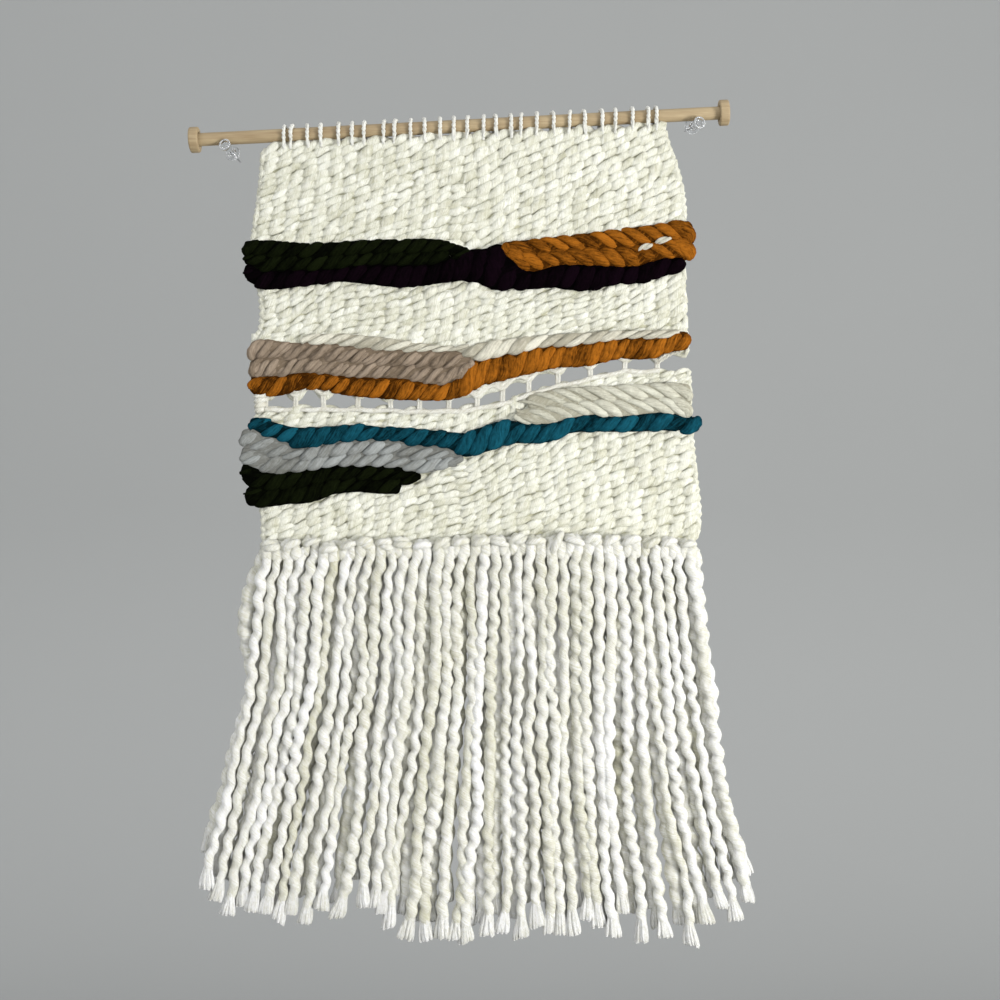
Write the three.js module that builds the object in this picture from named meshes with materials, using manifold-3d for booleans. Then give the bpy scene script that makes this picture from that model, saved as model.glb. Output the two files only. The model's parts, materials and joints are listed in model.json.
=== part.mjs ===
// Woven wall hanging: a tapestry of thick cotton with soumak bands and a long knotted fringe,
// looped over a wooden rod that lies on two clear push pins. Millimetres, +Z up.
// The wall is the plane y = 0, the front looks along -Y, and the origin is on the wall
// behind the middle of the rod.
import * as THREE from "three";
import { mergeVertices } from "three/addons/utils/BufferGeometryUtils.js";
import Module from "manifold-3d";

const wasm = await Module();
wasm.setup();

// Driving dimensions
const GAP = 0.3; // between pieces that touch on the real thing
const ROD = { radius: 4.2, half: 171.9, slope: 0.0513, standoff: 7.2, sides: 20 };
const CAP = { radius: 8.25, thick: 6, crown: 0.7, edge: 1.1, bore: 4, centre: 171.2 };
const PIN = { tilt: 0.29, stand: 1.5, flange: 4.9, waist: 2.6, head: 3.9, length: 13.6, sides: 16 };
const NEEDLE = { radius: 0.55, seat: 5, reach: 10, sides: 10 };
const PINS = [
  { name: "left", x: -148.9, up: 1, side: 0 },
  { name: "right", x: 150.3, up: 0, side: 1 },
];
const WARPS = 27;
const CLOTH = { middle: -7.2, half: 3.1, rib: 0.7, rows: 9, topLevel: -7, bottomLevel: -269 };
const LOOP = { cord: 1.0, reach: 5.75, root: 3, sides: 4, arc: 5, foot: 0.5, knee: 0.9, dip: 0.56 };
const BAND = { proud: 4.6, groove: 0.5, stitch: 10, ease: 14, thin: 0.6, blunt: 0.35, round: 0.25 };
const ACCENT = { deep: 1.4, tall: 2.1, end: 0.5, sides: 6, seat: 2.4 };
const BAR = { half: 1.4, shoulder: 3.2 };
const KNOT = { dip: 0.6, rim: 0.6, crown: 0.35, plain: 0.8 };
const FRINGE = { strands: 38, wide: 5.6, deep: 5, strip: 15, root: 11, side: 3, steps: 4, wave: 1.1 };

// Edges of the cloth, as its top and bottom along x, and its sides along z.
const CLOTH_TOP = {
  x: [-129.5, -114.5, -72, -39.5, 0, 64.5, 103.5, 132],
  z: [-14, -11.5, -9, -7.5, -6, -2.5, -1, 1],
};
const CLOTH_BOTTOM = {
  x: [-129.5, -39.5, 0, 38.5, 77.5, 116.5, 154],
  z: [-270, -270, -269.5, -267.5, -267, -268, -270],
};
const CLOTH_LEFT = {
  z: [-270, -250, -224, -192, -185, -173, -142, -128, -107, -76, -70, -42, -14],
  x: [-129.5, -130, -136, -135, -130.5, -135.5, -135.5, -130.5, -131.5, -136, -135.5, -131.5, -129.5],
};
const CLOTH_RIGHT = {
  z: [-270, -251, -217, -187, -165, -146, -126, -94, -62, -42, -25, -9, 1],
  x: [154, 155.5, 152, 149.5, 149, 147.5, 146.5, 145, 146, 144.5, 140, 134.5, 132],
};

// Edges of the soumak bands, z along x.
const FIRST_TOP = {
  x: [-141.5, -138, -117, -94, -63, -24, -8, 0.5, 7, 16, 25.5, 46, 77, 101, 132, 147, 151.5],
  z: [-81, -75.5, -75.5, -77, -75, -74, -75.5, -79, -81, -81.5, -77, -74.5, -71, -68, -64, -62.5, -66.5],
};
const PURPLE_TOP = {
  x: [-141.5, -130, -111, -85, -62, -26, -5, 7, 16, 25.5, 37, 45, 64, 93, 116, 132, 151.5],
  z: [-88, -95, -95, -94, -91.5, -91.5, -87.5, -82, -81.5, -78.5, -89.5, -96, -91.5, -92, -92, -87, -87.5],
};
const FIRST_BOTTOM = {
  x: [-141.5, -133, -125, -110, -78, -63, -36, -16, 7, 23, 62, 77, 101, 116, 132, 145.5],
  z: [
    -96.5, -105.5, -107, -105.5, -101.5, -103, -105.5, -103, -101.5, -107.5, -105.5, -108, -103.5,
    -102.5, -98, -93,
  ],
};
const SECOND_TOP = {
  x: [-138, -129, -114, -104, -83, -62, -41, -15, 0.5, 20, 41, 62, 103, 148],
  z: [-141, -139, -141, -137.5, -135.5, -137, -139.5, -143, -143.5, -140.5, -138, -136, -134, -133],
};
const TAUPE_TOP = {
  x: [-138, -129, -114, -101, -85, -72, -56, -40, -20, -7, 3, 12.5],
  z: [-141, -139, -141, -142, -142.5, -144.5, -146, -147, -147, -147, -150, -153],
};
const OCHRE_TOP = {
  x: [-138, -119, -104, -93, -72, -36, -21, -10, -2, 3, 10.5, 30, 51, 72, 103, 134, 140, 149],
  z: [
    -164, -163.5, -161.5, -161.5, -164, -165.5, -168.5, -168.5, -166, -161, -153.5, -149.5, -144.5,
    -143.5, -139, -138, -135, -136,
  ],
};
const SECOND_BOTTOM = {
  x: [-138, -133, -119, -108, -88, -77, -36, -10, 0, 10, 30, 51, 62, 82, 93, 103, 121, 132, 149],
  z: [
    -172, -175, -176, -172.5, -172, -175, -178.5, -178.5, -176.5, -170.5, -165, -160, -157.5, -156.5,
    -153.5, -152, -152, -148, -146,
  ],
};
const CREAM_TOP = {
  x: [33, 41, 51, 62, 72, 114, 134, 150],
  z: [-186, -179, -174, -171.5, -170.5, -168.5, -167.5, -168],
};
const TEAL_TOP = {
  x: [-138, -129, -119, -104, -82, -62, -55, -38, -15, 3, 15, 32, 39, 56, 67, 85, 100, 134, 145, 156],
  z: [
    -191, -189.5, -194.5, -196.5, -195.5, -194.5, -196.5, -196.5, -198.5, -200, -196, -191, -193.5,
    -194.5, -192, -188.5, -190, -187, -190, -189,
  ],
};
const TEAL_BOTTOM = {
  x: [-138, -129, -117, -104, -88, -68, -46, -30, -12, 3, 13, 34, 54, 69, 77, 114, 137, 145, 156],
  z: [
    -197, -202, -205, -210.5, -207.5, -205, -205, -208.5, -209.5, -215.5, -213, -206.5, -206.5, -200,
    -199, -199, -198, -200, -198.5,
  ],
};
const GREEN_TOP = {
  x: [-143.5, -137, -124, -104, -82, -67, -41, -33, -25.5, -15, -5, 1.5],
  z: [-218.5, -221.5, -226.5, -224.5, -221.5, -221.5, -222.5, -225, -226, -223.5, -219.5, -216.5],
};
const THIRD_BOTTOM = {
  x: [-143.5, -137, -130.5, -119, -98, -85, -67, -46, -39.5, -25.5],
  z: [-234, -243.5, -248.5, -246, -244.5, -239.5, -237.5, -239, -235, -227],
};

// One row for each soumak band: its edges, its ends along x, its rows of stitches and their lean.
const BANDS = [
  { name: "soumak_green_upper", top: FIRST_TOP, bottom: PURPLE_TOP, from: -141.5, to: 6,
    rows: 2, lean: 0.9, colour: "#23291a" },
  { name: "soumak_purple", top: PURPLE_TOP, bottom: FIRST_BOTTOM, from: -141.5, to: 145.5,
    rows: 2, lean: 0.6, colour: "#1b0a1e" },
  { name: "soumak_ochre_upper", top: FIRST_TOP, bottom: PURPLE_TOP, from: 26.5, to: 151.5,
    rows: 2, lean: -0.9, colour: "#b47318" },
  { name: "soumak_pale", top: SECOND_TOP, bottom: [TAUPE_TOP, OCHRE_TOP], from: -104, to: 142,
    rows: 1, lean: 0.9, colour: "#d6d3c8" },
  { name: "soumak_taupe", top: TAUPE_TOP, bottom: OCHRE_TOP, from: -138, to: 8.5,
    rows: 2, lean: 0.8, colour: "#aaa097" },
  { name: "soumak_ochre_middle", top: OCHRE_TOP, bottom: SECOND_BOTTOM, from: -138, to: 149,
    rows: 1, lean: 0.7, colour: "#b47318" },
  { name: "soumak_cream", top: CREAM_TOP, bottom: TEAL_TOP, from: 34, to: 150,
    rows: 2, lean: -0.8, colour: "#dedbcb" },
  { name: "soumak_teal", top: TEAL_TOP, bottom: TEAL_BOTTOM, from: -138, to: 156,
    rows: 1, lean: 0.7, colour: "#14525f" },
  { name: "soumak_lavender", top: TEAL_BOTTOM, bottom: GREEN_TOP, from: -143.5, to: 1.5,
    rows: 2, lean: 0.8, colour: "#b0adb4" },
  { name: "soumak_green_lower", top: GREEN_TOP, bottom: THIRD_BOTTOM, from: -143.5, to: -26,
    rows: 2, lean: 0.8, colour: "#23291a" },
];

// Two grey stitches laid over the upper ochre band.
const ACCENTS = [
  { x0: 114.5, z0: -82.8, x1: 124, z1: -77.5 },
  { x0: 126, z0: -77.5, x1: 136.5, z1: -73.5 },
];

// Bundles of bare warp in the open row, and the height and centre of the gap left of each.
const BARS = {
  x: [-107.5, -89.5, -67, -46, -27, -8, 10.5, 27, 44, 63, 84, 106.5, 127.5],
  z: [-179.5, -179, -179, -180.5, -181.5, -181.5, -180, -175.5, -169.5, -164.5, -160.5, -155.5, -155.5],
  tall: [6.5, 8, 8, 6, 5.7, 5.2, 5.7, 7.8, 7.3, 7.3, 4.6, 4.6, 4.8],
};
const FIRST_GAP_FROM = -124.5;
const NOTCH = { from: 129.5, to: 170, top: -148.6, bottom: -158.4, shoulder: 4 };
const THROUGH = 40; // half the depth of the prisms that cut the gaps

// Warp loops over the rod, x at the rod.
const LOOPS = {
  x: [
    -114.6, -109.5, -100.2, -91.2, -79.5, -70.7, -62.7, -49.7, -42.5, -32.6, -24.2, -13.8, -4.6, 4.7,
    14.8, 22, 32.1, 39.3, 49.3, 59.2, 71.1, 79.4, 90.9, 100.2, 111.2, 121.4, 126.5,
  ],
};

// The fringe: its sides along z, and where its tips end along x.
const FRONT_LAYER = -13.4;
const BACK_LAYER = -7.6;
const FRINGE_LEFT = {
  z: [-495, -475, -436, -400, -367, -324, -298, -272],
  x: [-167.5, -164, -153.5, -148, -141, -138.5, -137, -130],
};
const FRINGE_RIGHT = {
  z: [-499, -476, -438, -405, -360, -319, -298, -272],
  x: [192, 186, 175.5, 169.5, 163, 159, 157, 154],
};
const TIPS = {
  x: [-167.5, -155, -134, -111, -85, -71, -50, -39, -20, 25, 54, 90, 119, 149, 163, 181, 193],
  z: [-495, -508, -511, -515, -514, -507, -510, -523, -529, -527, -523, -523, -529, -532, -517, -516, -501],
};

// A smooth value read off a table between its rows, with flat ends.
function read(keys, values, at) {
  const last = keys.length - 1;
  if (at <= keys[0]) return values[0];
  if (at >= keys[last]) return values[last];
  let i = 0;
  while (keys[i + 1] < at) i++;
  const span = keys[i + 1] - keys[i];
  const t = (at - keys[i]) / span;
  const slopeAt = (k) => {
    if (k === 0 || k === last) return 0;
    return (values[k + 1] - values[k - 1]) / (keys[k + 1] - keys[k - 1]);
  };
  const near = values[i] + slopeAt(i) * span * t * (1 - t) * (1 - t);
  const far = (values[i + 1] - values[i]) * t * t * (3 - 2 * t);
  return near + far - slopeAt(i + 1) * span * t * t * (1 - t);
}
function along(table, x) {
  if (Array.isArray(table)) return Math.max(...table.map((each) => along(each, x)));
  return read(table.x, table.z, x);
}
const across = (table, z) => read(table.z, table.x, z);
const mix = THREE.MathUtils.lerp;

// An edge of a band as straight stretches half a stitch long, so that neighbours share their edge.
function edge(table, x) {
  const step = BAND.stitch / 2;
  const i = Math.floor(x / step);
  return mix(along(table, i * step), along(table, (i + 1) * step), x / step - i);
}

// Stations from one end to the other, on the common lattice of half stitches.
function stationsOf(from, to) {
  const step = BAND.stitch / 2;
  const stations = [{ x: from, crest: false }];
  for (let i = Math.ceil((from + 1) / step); i * step < to - 1; i++) {
    stations.push({ x: i * step, crest: i % 2 !== 0 });
  }
  stations.push({ x: to, crest: false });
  return stations;
}

const part = new THREE.Group();

function add(name, geometry, colour, roughness = 0.9, parent = part) {
  const material = new THREE.MeshStandardMaterial({ color: colour, roughness, metalness: 0 });
  const mesh = new THREE.Mesh(geometry, material);
  mesh.name = name;
  parent.add(mesh);
  return mesh;
}

// A closed geometry between rings of points, each ring with the same number of points,
// closed at its ends by a ladder between the first half of the ring and the second.
function loft(rings) {
  const sides = rings[0].length;
  const index = [];
  for (let i = 0; i + 1 < rings.length; i++) {
    for (let j = 0; j < sides; j++) {
      const a = i * sides + j;
      const b = i * sides + ((j + 1) % sides);
      index.push(a, b, a + sides, b, b + sides, a + sides);
    }
  }
  const last = (rings.length - 1) * sides;
  for (let j = 0; 2 * j + 2 < sides; j++) {
    const mate = sides - 1 - j;
    index.push(j, mate, mate - 1);
    index.push(last + j, last + mate - 1, last + mate);
    if (j + 1 === mate - 1) continue;
    index.push(j, mate - 1, j + 1);
    index.push(last + j, last + j + 1, last + mate - 1);
  }
  const points = new THREE.BufferGeometry().setFromPoints(rings.flat());
  return points.setIndex(index);
}

function solid(geometry) {
  const bare = geometry.clone();
  bare.deleteAttribute("normal");
  bare.deleteAttribute("uv");
  const merged = mergeVertices(bare, 1e-4);
  const mesh = new wasm.Mesh({
    numProp: 3,
    vertProperties: merged.attributes.position.array,
    triVerts: new Uint32Array(merged.index.array),
  });
  return new wasm.Manifold(mesh);
}

function geometryOf(manifold) {
  const mesh = manifold.getMesh();
  const geometry = new THREE.BufferGeometry();
  geometry.setAttribute("position", new THREE.BufferAttribute(mesh.vertProperties, 3));
  geometry.setIndex(new THREE.BufferAttribute(mesh.triVerts, 1));
  return geometry;
}

// A prism through the cloth from a list of [x, z] corners, between two depths.
function prism(corners, front, back) {
  const shape = new THREE.Shape(corners.map(([x, z]) => new THREE.Vector2(x, z)));
  const geometry = new THREE.ExtrudeGeometry(shape, { depth: back - front, bevelEnabled: false });
  geometry.rotateX(Math.PI / 2);
  geometry.translate(0, back, 0);
  return solid(geometry);
}

// A cord along points, with its half width across x and its half depth square to that.
function cord(points, widths, depths, sides) {
  const rings = points.map((point, i) => {
    const before = points[Math.max(i - 1, 0)];
    const after = points[Math.min(i + 1, points.length - 1)];
    const tangent = after.clone().sub(before).normalize();
    const side = new THREE.Vector3(1, 0, 0);
    const out = new THREE.Vector3().crossVectors(tangent, side).normalize();
    const ring = [];
    for (let j = 0; j < sides; j++) {
      const turn = ((j + 0.5) / sides) * 2 * Math.PI;
      const spot = point.clone();
      spot.addScaledVector(side, widths[i] * Math.cos(turn));
      spot.addScaledVector(out, depths[i] * Math.sin(turn));
      ring.push(spot);
    }
    return ring;
  });
  return loft(rings);
}

// Rod and its end caps
function buildRod() {
  const group = new THREE.Group();
  group.position.y = -ROD.standoff;
  group.rotation.y = -Math.atan(ROD.slope);
  part.add(group);
  const rod = new THREE.CylinderGeometry(ROD.radius, ROD.radius, 2 * ROD.half, ROD.sides);
  add("rod", rod.rotateZ(Math.PI / 2), "#c3a57c", 0.6, group);

  const bore = ROD.radius + GAP;
  const profile = [
    [0, CAP.bore],
    [bore, CAP.bore],
    [bore, 0],
    [CAP.radius - CAP.edge, 0],
    [CAP.radius, CAP.edge],
    [CAP.radius, CAP.thick - CAP.edge],
    [CAP.radius - CAP.edge, CAP.thick],
    [0, CAP.thick + CAP.crown],
  ].map(([r, y]) => new THREE.Vector2(r, y));
  for (const [name, turn] of [["cap_left", 1], ["cap_right", -1]]) {
    const cap = add(name, new THREE.LatheGeometry(profile, ROD.sides), "#c3a57c", 0.6, group);
    cap.rotation.z = (turn * Math.PI) / 2;
    cap.position.x = -turn * (CAP.centre - CAP.thick / 2);
  }
}

// Height on the wall at which a pin's waist carries the rod.
function pinHeight(pin) {
  const tilt = PIN.tilt * pin.up;
  const reach = ROD.radius + PIN.waist + GAP;
  const rodAt = ROD.slope * (pin.x + ROD.standoff * Math.tan(PIN.tilt * pin.side));
  return rodAt - (reach + ROD.standoff * Math.sin(tilt)) / Math.cos(tilt);
}

// A pin's plastic body, turned about its axis from the collar at the wall to the head.
function pinProfile() {
  const bore = NEEDLE.radius + GAP;
  const start = PIN.stand;
  const end = start + PIN.length;
  return [
    [0, start + NEEDLE.seat],
    [bore, start + NEEDLE.seat],
    [bore, start],
    [PIN.flange - 0.3, start],
    [PIN.flange, start + 0.5],
    [PIN.flange, start + 1.1],
    [PIN.flange - 0.9, start + 1.7],
    [PIN.waist + 0.2, start + 2.6],
    [PIN.waist, start + 4],
    [PIN.waist, end - 4.2],
    [PIN.waist + 0.3, end - 2.8],
    [PIN.head, end - 1.8],
    [PIN.head, end - 0.6],
    [PIN.head - 0.8, end],
    [0, end + 0.2],
  ].map(([r, y]) => new THREE.Vector2(r, y));
}

function buildPins() {
  const profile = pinProfile();
  const inside = PIN.stand + NEEDLE.seat - GAP;
  const length = inside + NEEDLE.reach;
  for (const pin of PINS) {
    const outward = new THREE.Vector3(
      Math.sin(PIN.tilt * pin.side),
      -Math.cos(PIN.tilt),
      Math.sin(PIN.tilt * pin.up),
    );
    const group = new THREE.Group();
    group.position.set(pin.x, 0, pinHeight(pin));
    group.quaternion.setFromUnitVectors(new THREE.Vector3(0, 1, 0), outward);
    part.add(group);
    const plastic = new THREE.LatheGeometry(profile, PIN.sides);
    add("pin_" + pin.name, plastic, "#dfe6ea", 0.1, group);
    const needle = new THREE.CylinderGeometry(NEEDLE.radius, NEEDLE.radius, length, NEEDLE.sides);
    needle.translate(0, inside - length / 2, 0);
    add("needle_" + pin.name, needle, "#b9bcc0", 0.3, group).material.metalness = 1;
  }
}

// A point of the cloth: u runs over its width and v from its top to its bottom.
function clothAt(u, v) {
  const level = mix(CLOTH.topLevel, CLOTH.bottomLevel, v);
  const x = mix(across(CLOTH_LEFT, level), across(CLOTH_RIGHT, level), u);
  return { x, z: mix(along(CLOTH_TOP, x), along(CLOTH_BOTTOM, x), v) };
}

// The woven ground: 27 ribs on its front, the open row cut through, and the warp loops.
function buildCloth() {
  const columns = 2 * WARPS;
  const rings = [];
  for (let i = 0; i <= columns; i++) {
    const front = [];
    const back = [];
    for (let j = 0; j <= CLOTH.rows; j++) {
      const { x, z } = clothAt(i / columns, j / CLOTH.rows);
      const crest = i % 2 ? 0 : CLOTH.rib;
      const drop = j === 0 ? crest : 0;
      front.push(new THREE.Vector3(x, CLOTH.middle - CLOTH.half + crest, z - drop));
      back.push(new THREE.Vector3(x, CLOTH.middle + CLOTH.half, z - drop));
    }
    rings.push([...front, ...back.reverse()]);
  }
  let cloth = solid(loft(rings));

  for (const corners of gapOutlines()) {
    cloth = cloth.subtract(prism(corners, -THROUGH, THROUGH));
  }
  for (const x of LOOPS.x) {
    cloth = cloth.add(solid(warpLoop(x)));
  }
  add("cloth_with_warp_loops", geometryOf(cloth), "#ebe9de");
}

// One warp loop: out of the cloth's top edge, round the rod and back down behind it.
function warpLoop(x) {
  const rodZ = ROD.slope * x;
  const root = along(CLOTH_TOP, x) - LOOP.root;
  const knee = rodZ - LOOP.reach * LOOP.dip;
  const at = (out, z) => new THREE.Vector3(x, -ROD.standoff - LOOP.reach * out, z);
  const points = [at(LOOP.foot, root), at(LOOP.knee, knee)];
  for (let k = 0; k <= LOOP.arc; k++) {
    const turn = (k / LOOP.arc) * Math.PI;
    points.push(at(Math.cos(turn), rodZ + LOOP.reach * Math.sin(turn)));
  }
  points.push(at(-LOOP.knee, knee), at(-LOOP.foot, root));
  const sizes = points.map(() => LOOP.cord);
  return cord(points, sizes, sizes, LOOP.sides);
}

// The gaps between the bars of bare warp, pointed at the bars, and the open notch on the right.
function gapOutlines() {
  const gaps = BARS.x.map((bar, i) => {
    const left = i ? BARS.x[i - 1] + BAR.half : FIRST_GAP_FROM;
    const right = bar - BAR.half;
    const z = BARS.z[i];
    const rise = BARS.tall[i] / 2;
    return [
      [left, z],
      [left + BAR.shoulder, z - rise],
      [right - BAR.shoulder, z - rise],
      [right, z],
      [right - BAR.shoulder, z + rise],
      [left + BAR.shoulder, z + rise],
    ];
  });
  gaps.push([
    [NOTCH.from, (NOTCH.top + NOTCH.bottom) / 2],
    [NOTCH.from + NOTCH.shoulder, NOTCH.bottom],
    [NOTCH.to, NOTCH.bottom],
    [NOTCH.to, NOTCH.top],
    [NOTCH.from + NOTCH.shoulder, NOTCH.top],
  ]);
  return gaps;
}

// One soumak band: rows of leaning stitches raised on a strip between two edges.
function buildBand(band) {
  const { name, from, to, rows, lean, colour } = band;
  const top = (x) => edge(band.top, x);
  const bottom = (x) => Math.min(edge(band.bottom, x), top(x) - BAND.thin - GAP);
  const back = CLOTH.middle - CLOTH.half - GAP;
  const turns = rows === 1 ? [0, 0.25, 0.75] : [0, 0.5];
  const steps = turns.length * rows;
  const rings = [];
  for (const { x, crest } of stationsOf(from, to)) {
    const ease = Math.min(1, (x - from) / BAND.ease, (to - x) / BAND.ease);
    const height = Math.min(top(x) - bottom(x), 2 * BAND.stitch);
    const ring = [];
    for (let j = 0; j <= steps; j++) {
      const turn = j % turns.length;
      const f = (Math.floor(j / turns.length) + turns[turn]) / rows;
      const rim = j === 0 || j === steps;
      const shear = rim ? 0 : lean * ease * (0.5 - f) * height;
      const at = THREE.MathUtils.clamp(x + shear, from, to);
      const shape = (turn ? 1 : BAND.groove) * (crest ? 1 : 1 - BAND.groove / 2);
      const blunt = BAND.blunt + BAND.round * Math.sin(Math.PI * f);
      const depth = BAND.proud * mix(blunt, shape, ease);
      ring.push(new THREE.Vector3(at, back - depth, mix(top(at) - GAP / 2, bottom(at) + GAP / 2, f)));
    }
    const first = ring[0];
    const last = ring[ring.length - 1];
    ring.push(new THREE.Vector3(last.x, back, last.z));
    ring.push(new THREE.Vector3(first.x, back, first.z));
    rings.push(ring);
  }
  add(name, loft(rings), colour);
}

function buildAccents() {
  const y = CLOTH.middle - CLOTH.half - GAP - BAND.proud * BAND.groove - ACCENT.seat;
  ACCENTS.forEach(({ x0, z0, x1, z1 }, i) => {
    const rings = [0, 0.25, 0.75, 1].map((t) => {
      const size = t === 0 || t === 1 ? ACCENT.end : 1;
      const ring = [];
      for (let j = 0; j < ACCENT.sides; j++) {
        const turn = (j / ACCENT.sides) * 2 * Math.PI;
        const out = ACCENT.deep * size * Math.cos(turn);
        const down = ACCENT.tall * size * Math.sin(turn);
        ring.push(new THREE.Vector3(mix(x0, x1, t), y - out, mix(z0, z1, t) - down));
      }
      return ring;
    });
    add("accent_stitch_" + (i + 1), loft(rings), "#c9c6be");
  });
}

// One layer of fringe: a strip of knots under the cloth with its strands standing apart below.
function buildFringe(name, front, shown, colour) {
  const from = CLOTH_BOTTOM.x[0];
  const to = CLOTH_BOTTOM.x[CLOTH_BOTTOM.x.length - 1];
  const back = front + FRINGE.deep;
  const rings = [];
  for (let i = 0; i <= 2 * WARPS; i++) {
    const x = mix(from, to, i / (2 * WARPS));
    const high = along(CLOTH_BOTTOM, x) - GAP;
    const low = high - FRINGE.strip;
    const lump = i % 2 ? 1 : KNOT.dip;
    const depth = FRINGE.deep * (shown ? lump : KNOT.plain);
    rings.push([
      new THREE.Vector3(x, back - depth * KNOT.rim, high),
      new THREE.Vector3(x, back - depth, mix(high, low, KNOT.crown)),
      new THREE.Vector3(x, back - depth * KNOT.rim, low),
      new THREE.Vector3(x, back, low),
      new THREE.Vector3(x, back, high),
    ]);
  }
  let fringe = solid(loft(rings));
  for (let i = 0; i < FRINGE.strands; i++) {
    fringe = fringe.add(solid(strand(i, front + FRINGE.deep / 2, shown)));
  }
  add(name, geometryOf(fringe), colour);
}

// One strand, from inside its strip of knots down to its tip; the layer behind ends higher.
function strand(i, y, shown) {
  const u = shown ? (i + 0.5) / FRINGE.strands : i / (FRINGE.strands - 1);
  const rootZ = along(CLOTH_BOTTOM, mix(CLOTH_BOTTOM.x[0], 154, u)) - FRINGE.root;
  const tipX = mix(FRINGE_LEFT.x[0], FRINGE_RIGHT.x[0], u);
  const shorter = shown ? 0 : 8 + 6 * Math.sin(i * 2.3);
  const tipZ = along(TIPS, tipX) + shorter;
  const points = [];
  const widths = [];
  const depths = [];
  for (let k = 0; k <= FRINGE.steps; k++) {
    const z = mix(rootZ, tipZ, k / FRINGE.steps);
    const left = across(FRINGE_LEFT, z) + FRINGE.side;
    const right = across(FRINGE_RIGHT, z) - FRINGE.side;
    const sway = k ? FRINGE.wave * Math.sin(i * 1.9 + k * 2.1) : 0;
    const end = k === FRINGE.steps ? 0.75 : 1;
    const slub = 1 + 0.12 * Math.sin(i + k * 1.7);
    points.push(new THREE.Vector3(mix(left, right, u) + sway, y, z));
    widths.push((FRINGE.wide / 2) * end * slub);
    depths.push((FRINGE.deep / 2) * end);
  }
  return cord(points, widths, depths, 4);
}

buildRod();
buildPins();
buildCloth();
BANDS.forEach(buildBand);
buildAccents();
buildFringe("fringe_front", FRONT_LAYER, true, "#e6e4d8");
buildFringe("fringe_back", BACK_LAYER, false, "#d8d4c2");

export default part;
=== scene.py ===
"""Woven wall hanging on a wooden rod: its yarns, soumak bands, warp loops, knots and fringe."""

import json
import math

import bmesh
import bpy
import numpy as np
from bpy.props import FloatProperty, FloatVectorProperty, IntProperty, PointerProperty
from mathutils import Matrix, Vector

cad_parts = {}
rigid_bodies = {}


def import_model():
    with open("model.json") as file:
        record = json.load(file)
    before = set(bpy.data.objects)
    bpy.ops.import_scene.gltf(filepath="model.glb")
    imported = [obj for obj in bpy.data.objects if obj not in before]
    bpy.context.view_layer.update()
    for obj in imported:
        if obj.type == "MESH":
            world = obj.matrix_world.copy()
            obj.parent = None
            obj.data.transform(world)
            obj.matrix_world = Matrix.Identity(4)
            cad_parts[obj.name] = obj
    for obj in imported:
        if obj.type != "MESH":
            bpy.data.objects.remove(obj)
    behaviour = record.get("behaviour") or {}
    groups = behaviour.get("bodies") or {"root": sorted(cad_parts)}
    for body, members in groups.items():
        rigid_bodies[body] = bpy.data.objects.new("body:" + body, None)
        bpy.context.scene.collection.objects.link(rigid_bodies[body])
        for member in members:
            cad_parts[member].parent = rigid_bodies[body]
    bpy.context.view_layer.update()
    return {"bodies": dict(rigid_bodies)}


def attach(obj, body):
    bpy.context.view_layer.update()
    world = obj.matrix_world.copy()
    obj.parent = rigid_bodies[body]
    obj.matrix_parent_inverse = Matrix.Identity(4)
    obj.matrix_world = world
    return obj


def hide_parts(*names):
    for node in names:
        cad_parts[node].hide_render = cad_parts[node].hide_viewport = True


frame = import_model()

bl_info = {
    "name": "Woven Wall Hanging",
    "version": (1, 0, 0),
    "blender": (4, 5, 0),
    "location": "View3D > Sidebar > Wall Hanging",
    "description": "Makes a woven wall hanging with soumak bands and a knotted fringe on a rod",
    "category": "Object",
}

BODY = next(iter(frame["bodies"]))
MM = 0.001

# Millimetres from here on, in the frame's axes: x along the wall, z up, -y towards the viewer.
# Depth of the cloth's middle, and of its front where the bands lie
MIDDLE = -7.2
FRONT = -10.4
WARPS = 31
ROD_RADIUS = 4.2
ROD_SLOPE = 0.0513

# How far the weft lies inside the cloth's top and its two sides
TOP_GAP = 1.6
SIDE_GAP = 1.6
MEAN_SIDES = (-132.0, 148.0)

# Outline of the woven cloth
CLOTH_TOP = {
    "x": (-129.5, -114.5, -72, -39.5, 0, 64.5, 103.5, 132),
    "z": (-14, -11.5, -9, -7.5, -6, -2.5, -1, 1),
}
CLOTH_BOTTOM = {
    "x": (-129.5, -39.5, 0, 38.5, 77.5, 116.5, 154),
    "z": (-270, -270, -269.5, -267.5, -267, -268, -270),
}
CLOTH_LEFT = {
    "z": (-270, -250, -224, -192, -185, -173, -142, -128, -107, -76, -70, -42, -14),
    "x": (-129.5, -130, -136, -135, -130.5, -135.5, -135.5, -130.5, -131.5, -136, -135.5, -131.5, -129.5),
}
CLOTH_RIGHT = {
    "z": (-270, -251, -217, -187, -165, -146, -126, -94, -62, -42, -25, -9, 1),
    "x": (154, 155.5, 152, 149.5, 149, 147.5, 146.5, 145, 146, 144.5, 140, 134.5, 132),
}

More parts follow.
